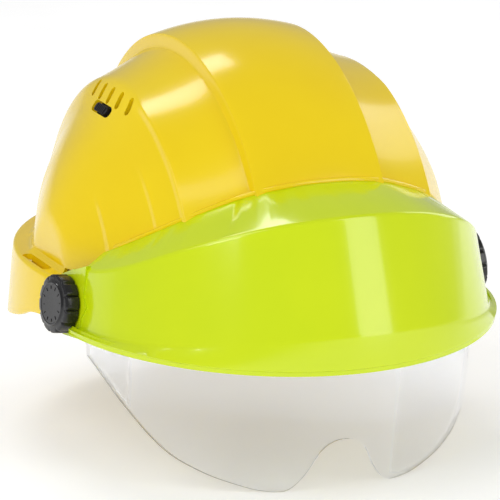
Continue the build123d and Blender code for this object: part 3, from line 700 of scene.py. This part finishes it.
start = -atan2(-LEDGE_START_Y, SKIRT_TOP[0])
skirt = sweep(
    "shell_skirt",
    [skirt_loop(start + (pi - 2 * start) * k / SKIRT_STEPS) for k in range(SKIRT_STEPS + 1)],
)
flat_turn = Matrix(((0, 1, 0), (1, 0, 0), (0, 0, -1)))
SEAT_TOP = 13.0  # the seat is cut this high, under the cover's ear
SEAT_CUTTER = (20, 100, 100)
VENT_SHIFT = (68.2, 1.2)  # the slots' place across, and how far above the CAD's they sit
VENT_STRETCH = 1.28  # length of a slot along the flank over its height
VENT_REACH = (-8, 8)
POCKET_PLACE = (71, 84.2)
POCKET_REACH = (-1.0, 6)
LEDGE_REACH = (-9, 9)
ledge_slots, dome_cuts, pocket_cuts = [], [], []
for side in SIDES.values():
    place = (side * SLOT_PLACE[0], SLOT_PLACE[1], LEDGE_Z)
    ledge_slots.append(stadium("slot", place, SLOT_SIZE[1], SLOT_SIZE[0], LEDGE_REACH, flat_turn))
    half_x, half_y, half_z = (extent / 2 for extent in SEAT_CUTTER)
    place = (side * (SEAT_X + half_x), SKIRT_START_Y - half_y, SEAT_TOP - half_z)
    dome_cuts.append(block("seat", place, SEAT_CUTTER))
    for k in range(-2, 3):
        middle = sum(VENT_Z) / 2 + VENT_SHIFT[1]
        place = (side * VENT_SHIFT[0], VENT_MID_Y + VENT_PITCH * k, middle)
        length = (VENT_Z[1] - VENT_Z[0]) * VENT_STRETCH
        dome_cuts.append(stadium("slot", place, length, VENT_WIDTH, VENT_REACH, slot_turn(side)))
    place = (side * POCKET_PLACE[0], POCKET_MID_Y, POCKET_PLACE[1])
    pocket_cuts.append(stadium("pocket", place, *POCKET_SIZE, POCKET_REACH, vent_turn(side)))
skirt = boolean(skirt, merge("ledge_slots", ledge_slots))
dome = boolean(dome, merge("dome_cuts", dome_cuts))
dome = boolean(dome, merge("pocket_cuts", pocket_cuts))
shell_dome = dress(link("shell_dome", dome, "helmet"), "shell_yellow")
shell_skirt = dress(link("shell_skirt", skirt, "helmet"), "shell_yellow")
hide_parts("shell")
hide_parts("shell")


# ---- brow cover over the visor -----------------------------------------------------------------
COVER_TOP = (  # degrees round from the front, height of the top edge
    (-84, 26.0),
    (-70, 37.0),
    (-60, 44.5),
    (-51.5, 50.6),
    (-40, 57.5),
    (-27, 63.1),
    (-13, 65.8),
    (0, 66.4),
    (13, 65.8),
    (27, 63.1),
    (40, 57.5),
    (51.5, 50.6),
    (60, 44.5),
    (70, 37.0),
    (84, 26.0),
)
COVER_UPPER = (104.0, 105.0)
COVER_LOWER = (108.2, 122.5)
COVER_LIP = (113.0, 124.0)
LIP_Z = -16.0
LIP_BAND = 3.0
COVER_END = 84.0
COVER_STEP = 2.0
COVER_GAP = 0.6
EAR_R = 15.6
EAR_POINTS = ((-15, 23), (-3, 18.6), (-20, 3), (-17, -14))  # the ear is drawn out to these
BEVEL_Z = (58.4, 0.0023, 1.3e-7)  # height of the bevel's line, and its fall with x squared, x^4
FACE_FOOT_Z = (3.0, 0.0012)  # the same for the foot of the upright face
LIP_RISE = 0.0002
LIP_INSET = 0.55
EAR_GAP = 0.3  # between knob and ear
RECESS_GAP = 0.8


def plan_radius(ellipse, angle):
    """Distance from an ellipse's centre to its edge, angle degrees round from the front."""
    return 1 / hypot(sin(radians(angle)) / ellipse[0], cos(radians(angle)) / ellipse[1])


def dome_out(angle, z):
    """Distance from the visor's centre to the dome at height z, angle degrees from the front."""
    low, high = 20.0, 130.0
    for _ in range(36):
        middle = (low + high) / 2
        x, y = middle * abs(sin(radians(angle))), VISOR_Y - middle * cos(radians(angle))
        length, height = dome_size(min(x, SIDE_X), 30.0)
        inside = x < SEAT_X and z < height and abs(y) < length * sqrt(1 - (z / height) ** 2)
        if inside:
            low = middle
        else:
            high = middle
    return low


def smoothed_reaches(passes=70):
    """Distance out to the cover's top edge at each degree, smoothed over the dome's steps."""
    degrees = range(-94, 95)
    reaches = [dome_out(d, curve_at(COVER_TOP, max(-84, min(84, d)))[0]) for d in degrees]
    for _ in range(passes):
        inner = zip(reaches, reaches[1:], reaches[2:])
        reaches = reaches[:1] + [(a + 2 * b + c) / 4 for a, b, c in inner] + reaches[-1:]
    return dict(zip(degrees, reaches))


REACHES = smoothed_reaches()


def top_reach(angle):
    """Distance out to the cover's top edge at a whole angle."""
    return REACHES[round(angle)] + COVER_GAP


def cover_profile(angle):
    """The cover's outer line at an angle, from its top edge to its lip, as (out, up)."""
    upper_r, lower_r, lip_r = (plan_radius(e, angle) for e in (COVER_UPPER, COVER_LOWER, COVER_LIP))
    upper_x, lower_x = (r * sin(radians(angle)) for r in (upper_r, lower_r))
    upper_z = BEVEL_Z[0] - BEVEL_Z[1] * upper_x**2 - BEVEL_Z[2] * upper_x**4
    lip_z = LIP_Z + LIP_RISE * lower_x**2
    corners = (
        (top_reach(angle), curve_at(COVER_TOP, angle)[0]),
        (upper_r, upper_z),
        (lower_r, FACE_FOOT_Z[0] - FACE_FOOT_Z[1] * lower_x**2),
        (lip_r, lip_z + LIP_BAND),
    )
    rim = (
        (lip_r, lip_z + LIP_BAND - 0.3),
        (lip_r - LIP_INSET, lip_z + LIP_BAND - 0.8),
        (lip_r - LIP_INSET, lip_z),
    )
    return rounded(corners, (1.6, 1.2)) + [Vector(p) for p in rim]


def fanned(angle, line):
    """A line of (out, up) stood up at an angle round the visor's centre."""
    across, ahead = sin(radians(angle)), -cos(radians(angle))
    return [(r * across, VISOR_Y + r * ahead, z) for r, z in line]


def knob_frame(side):
    """Point on the knob's outer face, and the turn whose Z points out along its axis."""
    axis = Vector((side, -tan(radians(KNOB_TOE)), tan(radians(KNOB_LIFT)))).normalized()
    seat_x = SEAT_X + 3.0
    reach = (KNOB_FACE_X - seat_x) / abs(axis.x)
    face = Vector((side * seat_x, *PIVOT)) + axis * reach
    along = Vector((0, 1, 0))
    along = (along - axis * along.dot(axis)).normalized()
    return face, axis, Matrix((along, axis.cross(along), axis)).transposed()


def ear_reach(radius, angle, lobing):
    """Radius of the cover's ear: a disc drawn out by straight edges towards the cover."""
    reach = radius
    for y, z in EAR_POINTS:
        tangent = acos(radius / hypot(y, z))
        off = abs((angle - atan2(lobing * z, y) + pi) % (2 * pi) - pi)
        if off < tangent:
            reach = max(reach, radius / cos(tangent - off))
    return reach


angles = [-COVER_END + COVER_STEP * k for k in range(int(2 * COVER_END / COVER_STEP) + 1)]
lines = [cover_profile(angle) for angle in angles]
cover = slab(
    "brow_cover",
    [fanned(angle, line) for angle, line in zip(angles, lines)],
    [fanned(angle, beside(line, -COVER_THICK)) for angle, line in zip(angles, lines)],
)
for side in SIDES.values():
    face, axis, turn = knob_frame(side)
    back = KNOB_THICK + EAR_GAP
    up = 1 if (turn @ Vector((0, 1, 0))).z > 0 else -1
    rear = -back - COVER_THICK
    plate = [(rear, 0, up), (rear, EAR_R, up), (-back, EAR_R, up), (-back, 0, up)]
    ear = turned("ear", face, turn, plate, ear_reach, 120)
    cover = boolean(cover, ear, "UNION")
    reach = KNOB_R + RECESS_GAP
    disc = [(-back, 0, 0), (-back, reach, 0), (2, reach, 0), (2, 0, 0)]
    recess = turned("recess", face, turn, disc, even, 96)
    cover = boolean(cover, recess)
brow_cover = link("brow_cover", cover, "helmet")
soften(brow_cover, 0.7)
dress(brow_cover, "cover_lime")
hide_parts("visor_cover")

LENS_THICK = 2.0
LENS_TOP_Z = -6.0
LENS_LEVELS = ((0.0, 103.0, 111.5), (-92.0, 98.0, 89.4))
LENS_EDGE = (
    (0, -56.8),
    (7, -58.3),
    (12, -62.6),
    (18, -73.7),
    (26, -82.5),
    (38, -83.0),
    (52, -79.2),
    (66, -73.6),
    (80, -64.3),
    (92, -48),
    (98, -36),
    (101.5, -26),
    (104, -15),
)
LENS_END = 86.0
LENS_COLUMNS = 260
LENS_ROWS = 26
LENS_INNER_X = 101.0
LENS_EAR_R = 13.0
HUB_HOLE_R = 8.05


def lens_point(angle, z, inset):
    """Point of the lens sheet at an angle round the visor's centre and a height."""
    (top_z, top_w, top_l), (foot_z, foot_w, foot_l) = LENS_LEVELS
    t = (z - top_z) / (foot_z - top_z)
    width, length = top_w + (foot_w - top_w) * t - inset, top_l + (foot_l - top_l) * t - inset
    return Vector((width * sin(angle), VISOR_Y - length * cos(angle), z))


def lens_foot(angle):
    """Height of the lens's lower edge at an angle."""
    low, high = -83.6, LENS_TOP_Z - 1
    for _ in range(30):
        middle = (low + high) / 2
        x = abs(lens_point(angle, middle, 0).x)
        if middle < curve_at(LENS_EDGE, min(x, 104.0))[0]:
            low = middle
        else:
            high = middle
    return (low + high) / 2


LENS_ANGLES = [radians(LENS_END) * (2 * j / LENS_COLUMNS - 1) for j in range(LENS_COLUMNS + 1)]
LENS_FEET = [lens_foot(angle) for angle in LENS_ANGLES]
lens_rows = [[], []]
for i in range(LENS_ROWS + 1):
    for rows_of, inset in zip(lens_rows, (0, LENS_THICK)):
        row = []
        for angle, foot in zip(LENS_ANGLES, LENS_FEET):
            height = LENS_TOP_Z + (foot - LENS_TOP_Z) * i / LENS_ROWS
            row.append(lens_point(angle, height, inset))
        rows_of.append(row)
lens = slab("eye_visor", *lens_rows)
hub_rings, hub_holes = [], []
for side in SIDES.values():
    centre = (side * LENS_INNER_X, *PIVOT)
    turn = Matrix(((0, 0, side), (side, 0, 0), (0, 1, 0)))
    disc = [(0, 0, 0), (0, LENS_EAR_R, 0), (LENS_THICK, LENS_EAR_R, 0), (LENS_THICK, 0, 0)]
    hole = [(-9, 0, 0), (-9, HUB_HOLE_R, 0), (9, HUB_HOLE_R, 0), (9, 0, 0)]
    hub_rings.append(turned("disc", centre, turn, disc, even, 96))
    hub_holes.append(turned("hole", centre, turn, hole, even, 96))
lens = boolean(lens, merge("discs", hub_rings), "UNION")
lens = boolean(lens, merge("holes", hub_holes))
eye_visor = link("eye_visor", lens, "visor")
soften(eye_visor, 0.45)
dress(eye_visor, "lens_clear")
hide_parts("visor_lens")

BEAD_R = 1.4
BEAD_TURNS = [2 * pi * k / 12 for k in range(12)]
bead_loops = []
for angle in range(-80, 81, 2):
    out, up = top_reach(angle), curve_at(COVER_TOP, angle)[0]
    out, up = out - COVER_GAP - 0.3, up + 0.6
    ring = [(out + BEAD_R * cos(bend), up + BEAD_R * sin(bend)) for bend in BEAD_TURNS]
    bead_loops.append(fanned(angle, ring))
shell_bead = link("shell_brow_bead", sweep("shell_brow_bead", bead_loops), "helmet")
dress(shell_bead, "shell_yellow")


# ---- side knobs --------------------------------------------------------------------------------
KNOB_LOBES = 12
GROOVE_DEPTH = 1.05
GROOVE_WIDTH = 0.045  # radians
TICK_RADIUS = 8.2
TICK_SIZE = (1.7, 0.45, 0.5)
KNOB_SPOKES = 20  # points round the rim for each lobe
KNOB_PROFILE = (  # height over the outer face, radius, depth of the grip grooves
    (-8.8, 0.0, 0.0),
    (-8.8, 13.7, 0.6),
    (-8.5, 14.3, 1.0),
    (-8.1, 14.7, 1.0),
    (-2.1, 14.7, 1.0),
    (-1.5, 14.5, 1.0),
    (-1.1, 13.9, 0.9),
    (-0.95, 13.0, 0.4),
    (-0.9, 11.7, 0.0),
    (-0.7, 11.2, 0.0),
    (-0.25, 11.0, 0.0),
    (0.0, 10.6, 0.0),
    (0.0, 10.1, 0.0),
    (-0.2, 9.8, 0.0),
    (-0.25, 4.0, 0.0),
    (-0.3, 0.0, 0.0),
)


def from_lobe(angle, lobes):
    """Angle from the nearest of that many even divisions of the turn."""
    pitch = 2 * pi / lobes
    return abs((angle / pitch) - floor(angle / pitch + 0.5)) * pitch


def grip(radius, angle, depth):
    """Radius with narrow grooves cut round the rim."""
    off = from_lobe(angle, KNOB_LOBES)
    return radius - depth * GROOVE_DEPTH * bell(off, GROOVE_WIDTH)


for name, side in SIDES.items():
    face, axis, turn = knob_frame(side)
    knob = turned("knob", face, turn, KNOB_PROFILE, grip, KNOB_LOBES * KNOB_SPOKES)
    ticks = []
    for k in range(KNOB_LOBES):
        bearing = 2 * pi * (k + 0.5) / KNOB_LOBES
        spin = Matrix.Rotation(bearing, 3, "Z")
        place = face + turn @ (spin @ Vector((TICK_RADIUS, 0, -0.2)))
        ticks.append(block("tick", place, TICK_SIZE, turn @ spin))
    knob = boolean(knob, merge("ticks", ticks), "UNION")
    piece = link(f"side_knob_{name}", knob, f"{name}_knob")
    dress(piece, "knob_black")
    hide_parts(f"knob_{name}")


# ---- sweatband, nape pad and crown webbing -----------------------------------------------------
BAND_INNER = (BAND_OUTER[0] - BAND_THICK, BAND_OUTER[1] - BAND_THICK)
SWEAT_END_Y = -30.0
SWEAT_FULL = 3.0
SWEAT_THIN = 1.5
SWEAT_GAP = 0.4  # between the band and the sweatband
SWEAT_EDGE = 1.2  # how far the sweatband's edges are inside the band's
SWEAT_ROLLS = 3
PUCKER = (0.05, 1.1)  # depth, and radians to a millimetre
BAND_MEAN_R = 95


def sweat_loop(angle, along):
    """Section of the sweatband at an ellipse angle: flat behind, three soft rolls inside."""
    loop = []
    low, high = BAND_Z[0] + SWEAT_EDGE, BAND_Z[1] - SWEAT_EDGE
    back = tuple(half - SWEAT_GAP for half in BAND_INNER)
    for k in range(31):
        t = k / 30
        end = min(1.0, 6 * min(t, 1 - t) + 0.25)
        swell = abs(sin(SWEAT_ROLLS * pi * t))
        roll = SWEAT_THIN + (SWEAT_FULL - SWEAT_THIN) * swell**0.6
        pucker = 1 - PUCKER[0] * cos(along * PUCKER[1]) * (1 - swell)
        depth = max(0.5, roll * end * pucker)
        loop.append((back[0] - depth, back[1] - depth, low + (high - low) * t))
    for k in range(11):
        loop.append((*back, high - (high - low) * k / 10))
    return [(a * cos(angle), b * sin(angle), z) for a, b, z in loop]


sweat_start = pi - asin(SWEAT_END_Y / -BAND_INNER[1])
sweat_turn = [-pi + (pi - sweat_start) + (2 * sweat_start - pi) * k / 150 for k in range(151)]
sweat_mesh = sweep("sweatband_soft", [sweat_loop(t, BAND_MEAN_R * t) for t in sweat_turn])
sweatband = link("sweatband_soft", sweat_mesh, "helmet", SOFT_SHARP)
dress(sweatband, "sweatband_fabric")
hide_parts("sweatband")

pad_low, pad_high = (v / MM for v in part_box("nape_pad"))
PAD_COLUMNS, PAD_ROWS = 48, 22
PAD_SEAM_AT, PAD_SEAM_WIDTH, PAD_SEAM_DEPTH = 0.36, 0.035, 0.45  # shares of the half-length, depth
PAD_ROUNDING = 0.16
PAD_PULL = 0.05  # how far the corners pull in
PAD_EDGE = 0.25  # share of the depth left at the edge
pad_middle = [(low + high) / 2 for low, high in zip(pad_low, pad_high)]
pad_half = [(high - low) / 2 for low, high in zip(pad_low, pad_high)]
pad_full = pad_high.y - pad_low.y - 0.4
pad_front, pad_back = [], []
for i in range(PAD_ROWS + 1):
    front, behind = [], []
    for j in range(PAD_COLUMNS + 1):
        u, v = 2 * j / PAD_COLUMNS - 1, 2 * i / PAD_ROWS - 1
        pull = 1 - PAD_PULL * (v * v) * (u * u)
        x = pad_middle[0] + u * sqrt(1 - v * v * PAD_ROUNDING) * pad_half[0] * pull
        z = pad_middle[2] + v * sqrt(1 - u * u * PAD_ROUNDING) * pad_half[2] * pull
        crown = ((1 - u**6) * (1 - v**6)) ** 0.5
        seam = 1 - PAD_SEAM_DEPTH * bell(abs(u) - PAD_SEAM_AT, PAD_SEAM_WIDTH)
        depth = pad_full * (PAD_EDGE + (1 - PAD_EDGE) * crown * seam)
        front.append((x, pad_high.y - depth, z))
        behind.append((x, pad_high.y, z))
    pad_front.append(front)
    pad_back.append(behind)
nape_mesh = slab("nape_pad_soft", pad_front, pad_back)
nape_pad = link("nape_pad_soft", nape_mesh, "helmet", SOFT_SHARP)
soften(nape_pad, 0.6)
dress(nape_pad, "pad_fabric")
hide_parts("nape_pad")

STRAP_FOOT_Z = -4.0
STRAP_STEPS = 110
WEB_QUARTER = ((8.4, 0.55), (9.2, 0.7), (9.8, 0.6), (10, 0.2))  # across, height: a thicker edge
WEB_SECTION = (
    *((-across, -height) for across, height in reversed(WEB_QUARTER)),
    *((across, -height) for across, height in WEB_QUARTER),
    *reversed(WEB_QUARTER),
    *((-across, height) for across, height in WEB_QUARTER),
)
for name, top in STRAP_TOP.items():
    turn = radians(STRAP_TURN[name])
    out, side_way = Vector((cos(turn), sin(turn), 0)), Vector((-sin(turn), cos(turn), 0))
    middle_r, middle_top = STRAP_RADIUS - STRAP_THICK / 2, top - STRAP_THICK / 2
    path = [Vector((middle_r, STRAP_FOOT_Z * (1 - k / 4))) for k in range(4)]
    for k in range(STRAP_STEPS + 1):
        angle = pi * k / STRAP_STEPS
        path.append(Vector((middle_r * cos(angle), middle_top * sin(angle))))
    path += [Vector((-middle_r, STRAP_FOOT_Z * (k + 1) / 4)) for k in range(4)]
    moved = {offset: beside(path, -offset) for offset in {h for _, h in WEB_SECTION}}
    loops = []
    for i in range(len(path)):
        loop = []
        for across, height in WEB_SECTION:
            spot = moved[height][i]
            loop.append(out * spot.x + side_way * across + Vector((0, 0, spot.y)))
        loops.append(loop)
    length = sum((b - a).length for a, b in zip(path, path[1:]))
    web_mesh = sweep("webbing", loops)
    strap = link(f"crown_webbing_{name}", web_mesh, "helmet", SOFT_SHARP)
    dress(strap, "webbing")
    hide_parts(f"crown_strap_{name}")


# ---- band arms, swept from the band round to the racks -----------------------------------------
ARM_HEIGHTS = ((127, 22.0, 6.0), (135, 21.0, 2.0))
ARM_BEND = (  # place short of the rack, outward direction in plan, height of the arm there
    ((58.6, 82.0, -4.0), (0.93, 0.37), 20.5),
    ((53.5, 92.0, -10.0), (0.75, 0.66), 21.0),
    ((47.5, 98.0, -14.5), (0.35, 0.94), 21.6),
)
ARM_STRAIGHT_X = 43.0
ARM_ELLIPSE = (BAND_OUTER[0] + 0.8, BAND_OUTER[1] + 0.8)
ARM_THICK = 2.0
RACK_Y = {"right": 97.4, "left": 99.8}
RACK_END_X = 36.0
RACK_HALF_HEIGHT = 11.0
RATCHET_Z = -16.0
ARM_STEPS = 8
ARM_SIDE = (-1, -0.5, 0, 0.5, 1)
ARM_LOOP = (*((-1, up) for up in ARM_SIDE), *((1, up) for up in reversed(ARM_SIDE)))
for name, side in SIDES.items():
    stations = []
    for angle, height, z in ARM_HEIGHTS:
        turn = radians(angle)
        out = Vector((sin(turn) * ARM_ELLIPSE[1], -cos(turn) * ARM_ELLIPSE[0], 0)).normalized()
        spot = Vector((ARM_ELLIPSE[0] * sin(turn), -ARM_ELLIPSE[1] * cos(turn), z))
        stations.append((spot + out * ARM_THICK / 2, out, height))
    for spot, out, height in ARM_BEND:
        stations.append((Vector(spot), Vector((*out, 0)).normalized(), height))
    straight = Vector((ARM_STRAIGHT_X, RACK_Y[name], RATCHET_Z))
    stations.append((straight, Vector((0, 1, 0)), 2 * RACK_HALF_HEIGHT))
    end = Vector((RACK_END_X + 0.05, RACK_Y[name], RATCHET_Z))
    stations.append((end, Vector((0, 1, 0)), 2 * RACK_HALF_HEIGHT))
    loops = []
    for (a, out_a, high_a), (b, out_b, high_b) in zip(stations, stations[1:]):
        for k in range(ARM_STEPS if b is not end else ARM_STEPS + 1):
            t = k / ARM_STEPS
            spot, out = a.lerp(b, t), out_a.lerp(out_b, t).normalized()
            high = high_a + (high_b - high_a) * t
            loop = []
            for across, up in ARM_LOOP:
                point = spot + out * across * ARM_THICK / 2 + Vector((0, 0, up * high / 2))
                loop.append((side * point.x, point.y, point.z))
            loops.append(loop)
    arm = link(f"band_arm_soft_{name}", sweep("band_arm", loops), None)
    dress(arm, "harness_plastic")
    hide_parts(f"band_arm_{name}")
    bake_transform(arm)


# ---- size wheel at the nape --------------------------------------------------------------------
WHEEL_FOOT_Y = 104.9
WHEEL_LOBES = 10
WHEEL_SPOKES = 24  # points round the rim for each lobe
HOLLOW_DEPTH = 2.0
HOLLOW_WIDTH = 0.11  # radians
WHEEL_PROFILE = (  # height over the foot, radius, depth of the hollows
    (0.0, 0.0, 0.0),
    (0.0, 15.6, 0.7),
    (0.4, 16.5, 1.0),
    (1.0, 17.0, 1.0),
    (8.8, 17.0, 1.0),
    (9.8, 16.6, 1.0),
    (10.4, 15.8, 0.9),
    (10.6, 14.6, 0.5),
    (10.6, 11.0, 0.0),
    (9.8, 10.2, 0.0),
    (9.6, 4.0, 0.0),
    (9.9, 3.2, 0.0),
    (9.9, 0.0, 0.0),
)


def scallop(radius, angle, depth):
    """Radius with wide finger hollows round the rim."""
    off = from_lobe(angle, WHEEL_LOBES)
    return radius - depth * HOLLOW_DEPTH * bell(off, HOLLOW_WIDTH)


wheel_turn = Matrix(((1, 0, 0), (0, 0, -1), (0, 1, 0))).transposed()
wheel_foot = (0, WHEEL_FOOT_Y, RATCHET_Z)
wheel_steps = WHEEL_LOBES * WHEEL_SPOKES
wheel_mesh = turned("wheel", wheel_foot, wheel_turn, WHEEL_PROFILE, scallop, wheel_steps)
size_wheel = dress(link("size_wheel", wheel_mesh, "wheel"), "knob_black")
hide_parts("ratchet_wheel")


# ---- carried-over CAD nodes -------------------------------------------------------------------
NODE_SLOTS = {
    "pivot_hub_right": "hub_nylon",
    "pivot_hub_left": "hub_nylon",
    "friction_washers": "washer_rubber",
    "pivot_nuts": "nut_brass",
    "headband": "harness_plastic",
    "strap_clips": "harness_plastic",
    "ratchet_housing": "harness_plastic",
    "ratchet_cover": "harness_plastic",
    "ratchet_spring": "spring_steel",
    "knob_screw_right": "screw_steel",
    "knob_screw_left": "screw_steel",
    "vent_shutter_right": "vent_black",
    "vent_button_right": "vent_black",
    "vent_shutter_left": "vent_black",
    "vent_button_left": "vent_black",
    "ratchet_pinion": "hub_nylon",
    "rack_right": "harness_plastic",
    "rack_left": "harness_plastic",
}
for node, slot in NODE_SLOTS.items():
    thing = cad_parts[node]
    for holder in thing.material_slots:
        holder.material = MATERIALS[slot]
    if not thing.material_slots:
        thing.data.materials.append(MATERIALS[slot])


# ---- floor, lights and camera -----------------------------------------------------------------
FLOOR_Z = cad_box[0].z / MM
FLOOR_HALF = 6000
FLOOR_GLOW = 0.34
WORLD_GLOW = 0.36
floor_points = [(x * FLOOR_HALF, y * FLOOR_HALF, FLOOR_Z) for x, y in CORNERS]
floor_piece = bpy.data.objects.new("floor", mesh_from("floor", floor_points, [(0, 1, 2, 3)]))
bpy.context.scene.collection.objects.link(floor_piece)
floor_look = plastic("floor_pale", (0.93, 0.93, 0.93), (0.90, 0.90, 0.90), 0.7, 300, 0.02, 0.0, 0.0)
floor_shader = floor_look.node_tree.nodes["Principled BSDF"]
floor_shader.inputs["Emission Color"].default_value = (1, 1, 1, 1)
floor_shader.inputs["Emission Strength"].default_value = FLOOR_GLOW
floor_piece.data.materials.append(floor_look)

bpy.context.scene.view_settings.view_transform = "Standard"
world = bpy.data.worlds.new("studio")
bpy.context.scene.world = world
world.use_nodes = True
world.node_tree.nodes["Background"].inputs["Color"].default_value = (1, 1, 1, 1)
world.node_tree.nodes["Background"].inputs["Strength"].default_value = WORLD_GLOW

STAGE_MIDDLE = Vector((0, -0.03, 0.03))
SOFTBOXES = (  # name, direction from the hat, distance, width, height, watts
    ("front_strip", (0.46, -0.84, 0.33), 1.7, 0.62, 1.5, 8.5),
    ("left_strip", (-0.74, -0.40, 0.36), 1.7, 0.6, 0.34, 4.0),
    ("left_fill", (-0.90, -0.25, 0.95), 1.9, 1.3, 1.0, 9),
    ("back_top", (-0.06, 0.53, 0.84), 1.8, 0.8, 0.36, 5.5),
    ("right_side", (0.85, 0.30, 0.36), 1.8, 0.8, 1.2, 6),
)
for name, direction, distance, width, height, watts in SOFTBOXES:
    lamp = bpy.data.lights.new(name, "AREA")
    lamp.shape = "RECTANGLE"
    lamp.size = width
    lamp.size_y = height
    lamp.energy = watts
    holder = bpy.data.objects.new(name, lamp)
    bpy.context.scene.collection.objects.link(holder)
    away = Vector(direction).normalized()
    holder.location = away * distance + STAGE_MIDDLE
    holder.rotation_euler = away.to_track_quat("Z", "Y").to_euler()

VIEW_RIGHT = Vector((0.9239, -0.3827, 0.0))
VIEW_UP = Vector((0.0990, 0.2391, 0.9659))
VIEW_BACK = Vector((-0.3696, -0.8924, 0.2588))
VIEW_TARGET = Vector((-7.24, -30.83, 14.37)) * MM
VIEW_DISTANCE = 3.0
VIEW_WIDTH = 0.2521
camera_data = bpy.data.cameras.new("camera")
camera_data.sensor_width = 36.0
camera_data.lens = camera_data.sensor_width * VIEW_DISTANCE / VIEW_WIDTH
camera_data.clip_end = 50
camera = bpy.data.objects.new("camera", camera_data)
bpy.context.scene.collection.objects.link(camera)
camera_place = Matrix((VIEW_RIGHT, VIEW_UP, VIEW_BACK)).transposed().to_4x4()
camera_place.translation = VIEW_TARGET + VIEW_BACK * VIEW_DISTANCE
camera.matrix_world = camera_place
bpy.context.scene.camera = camera
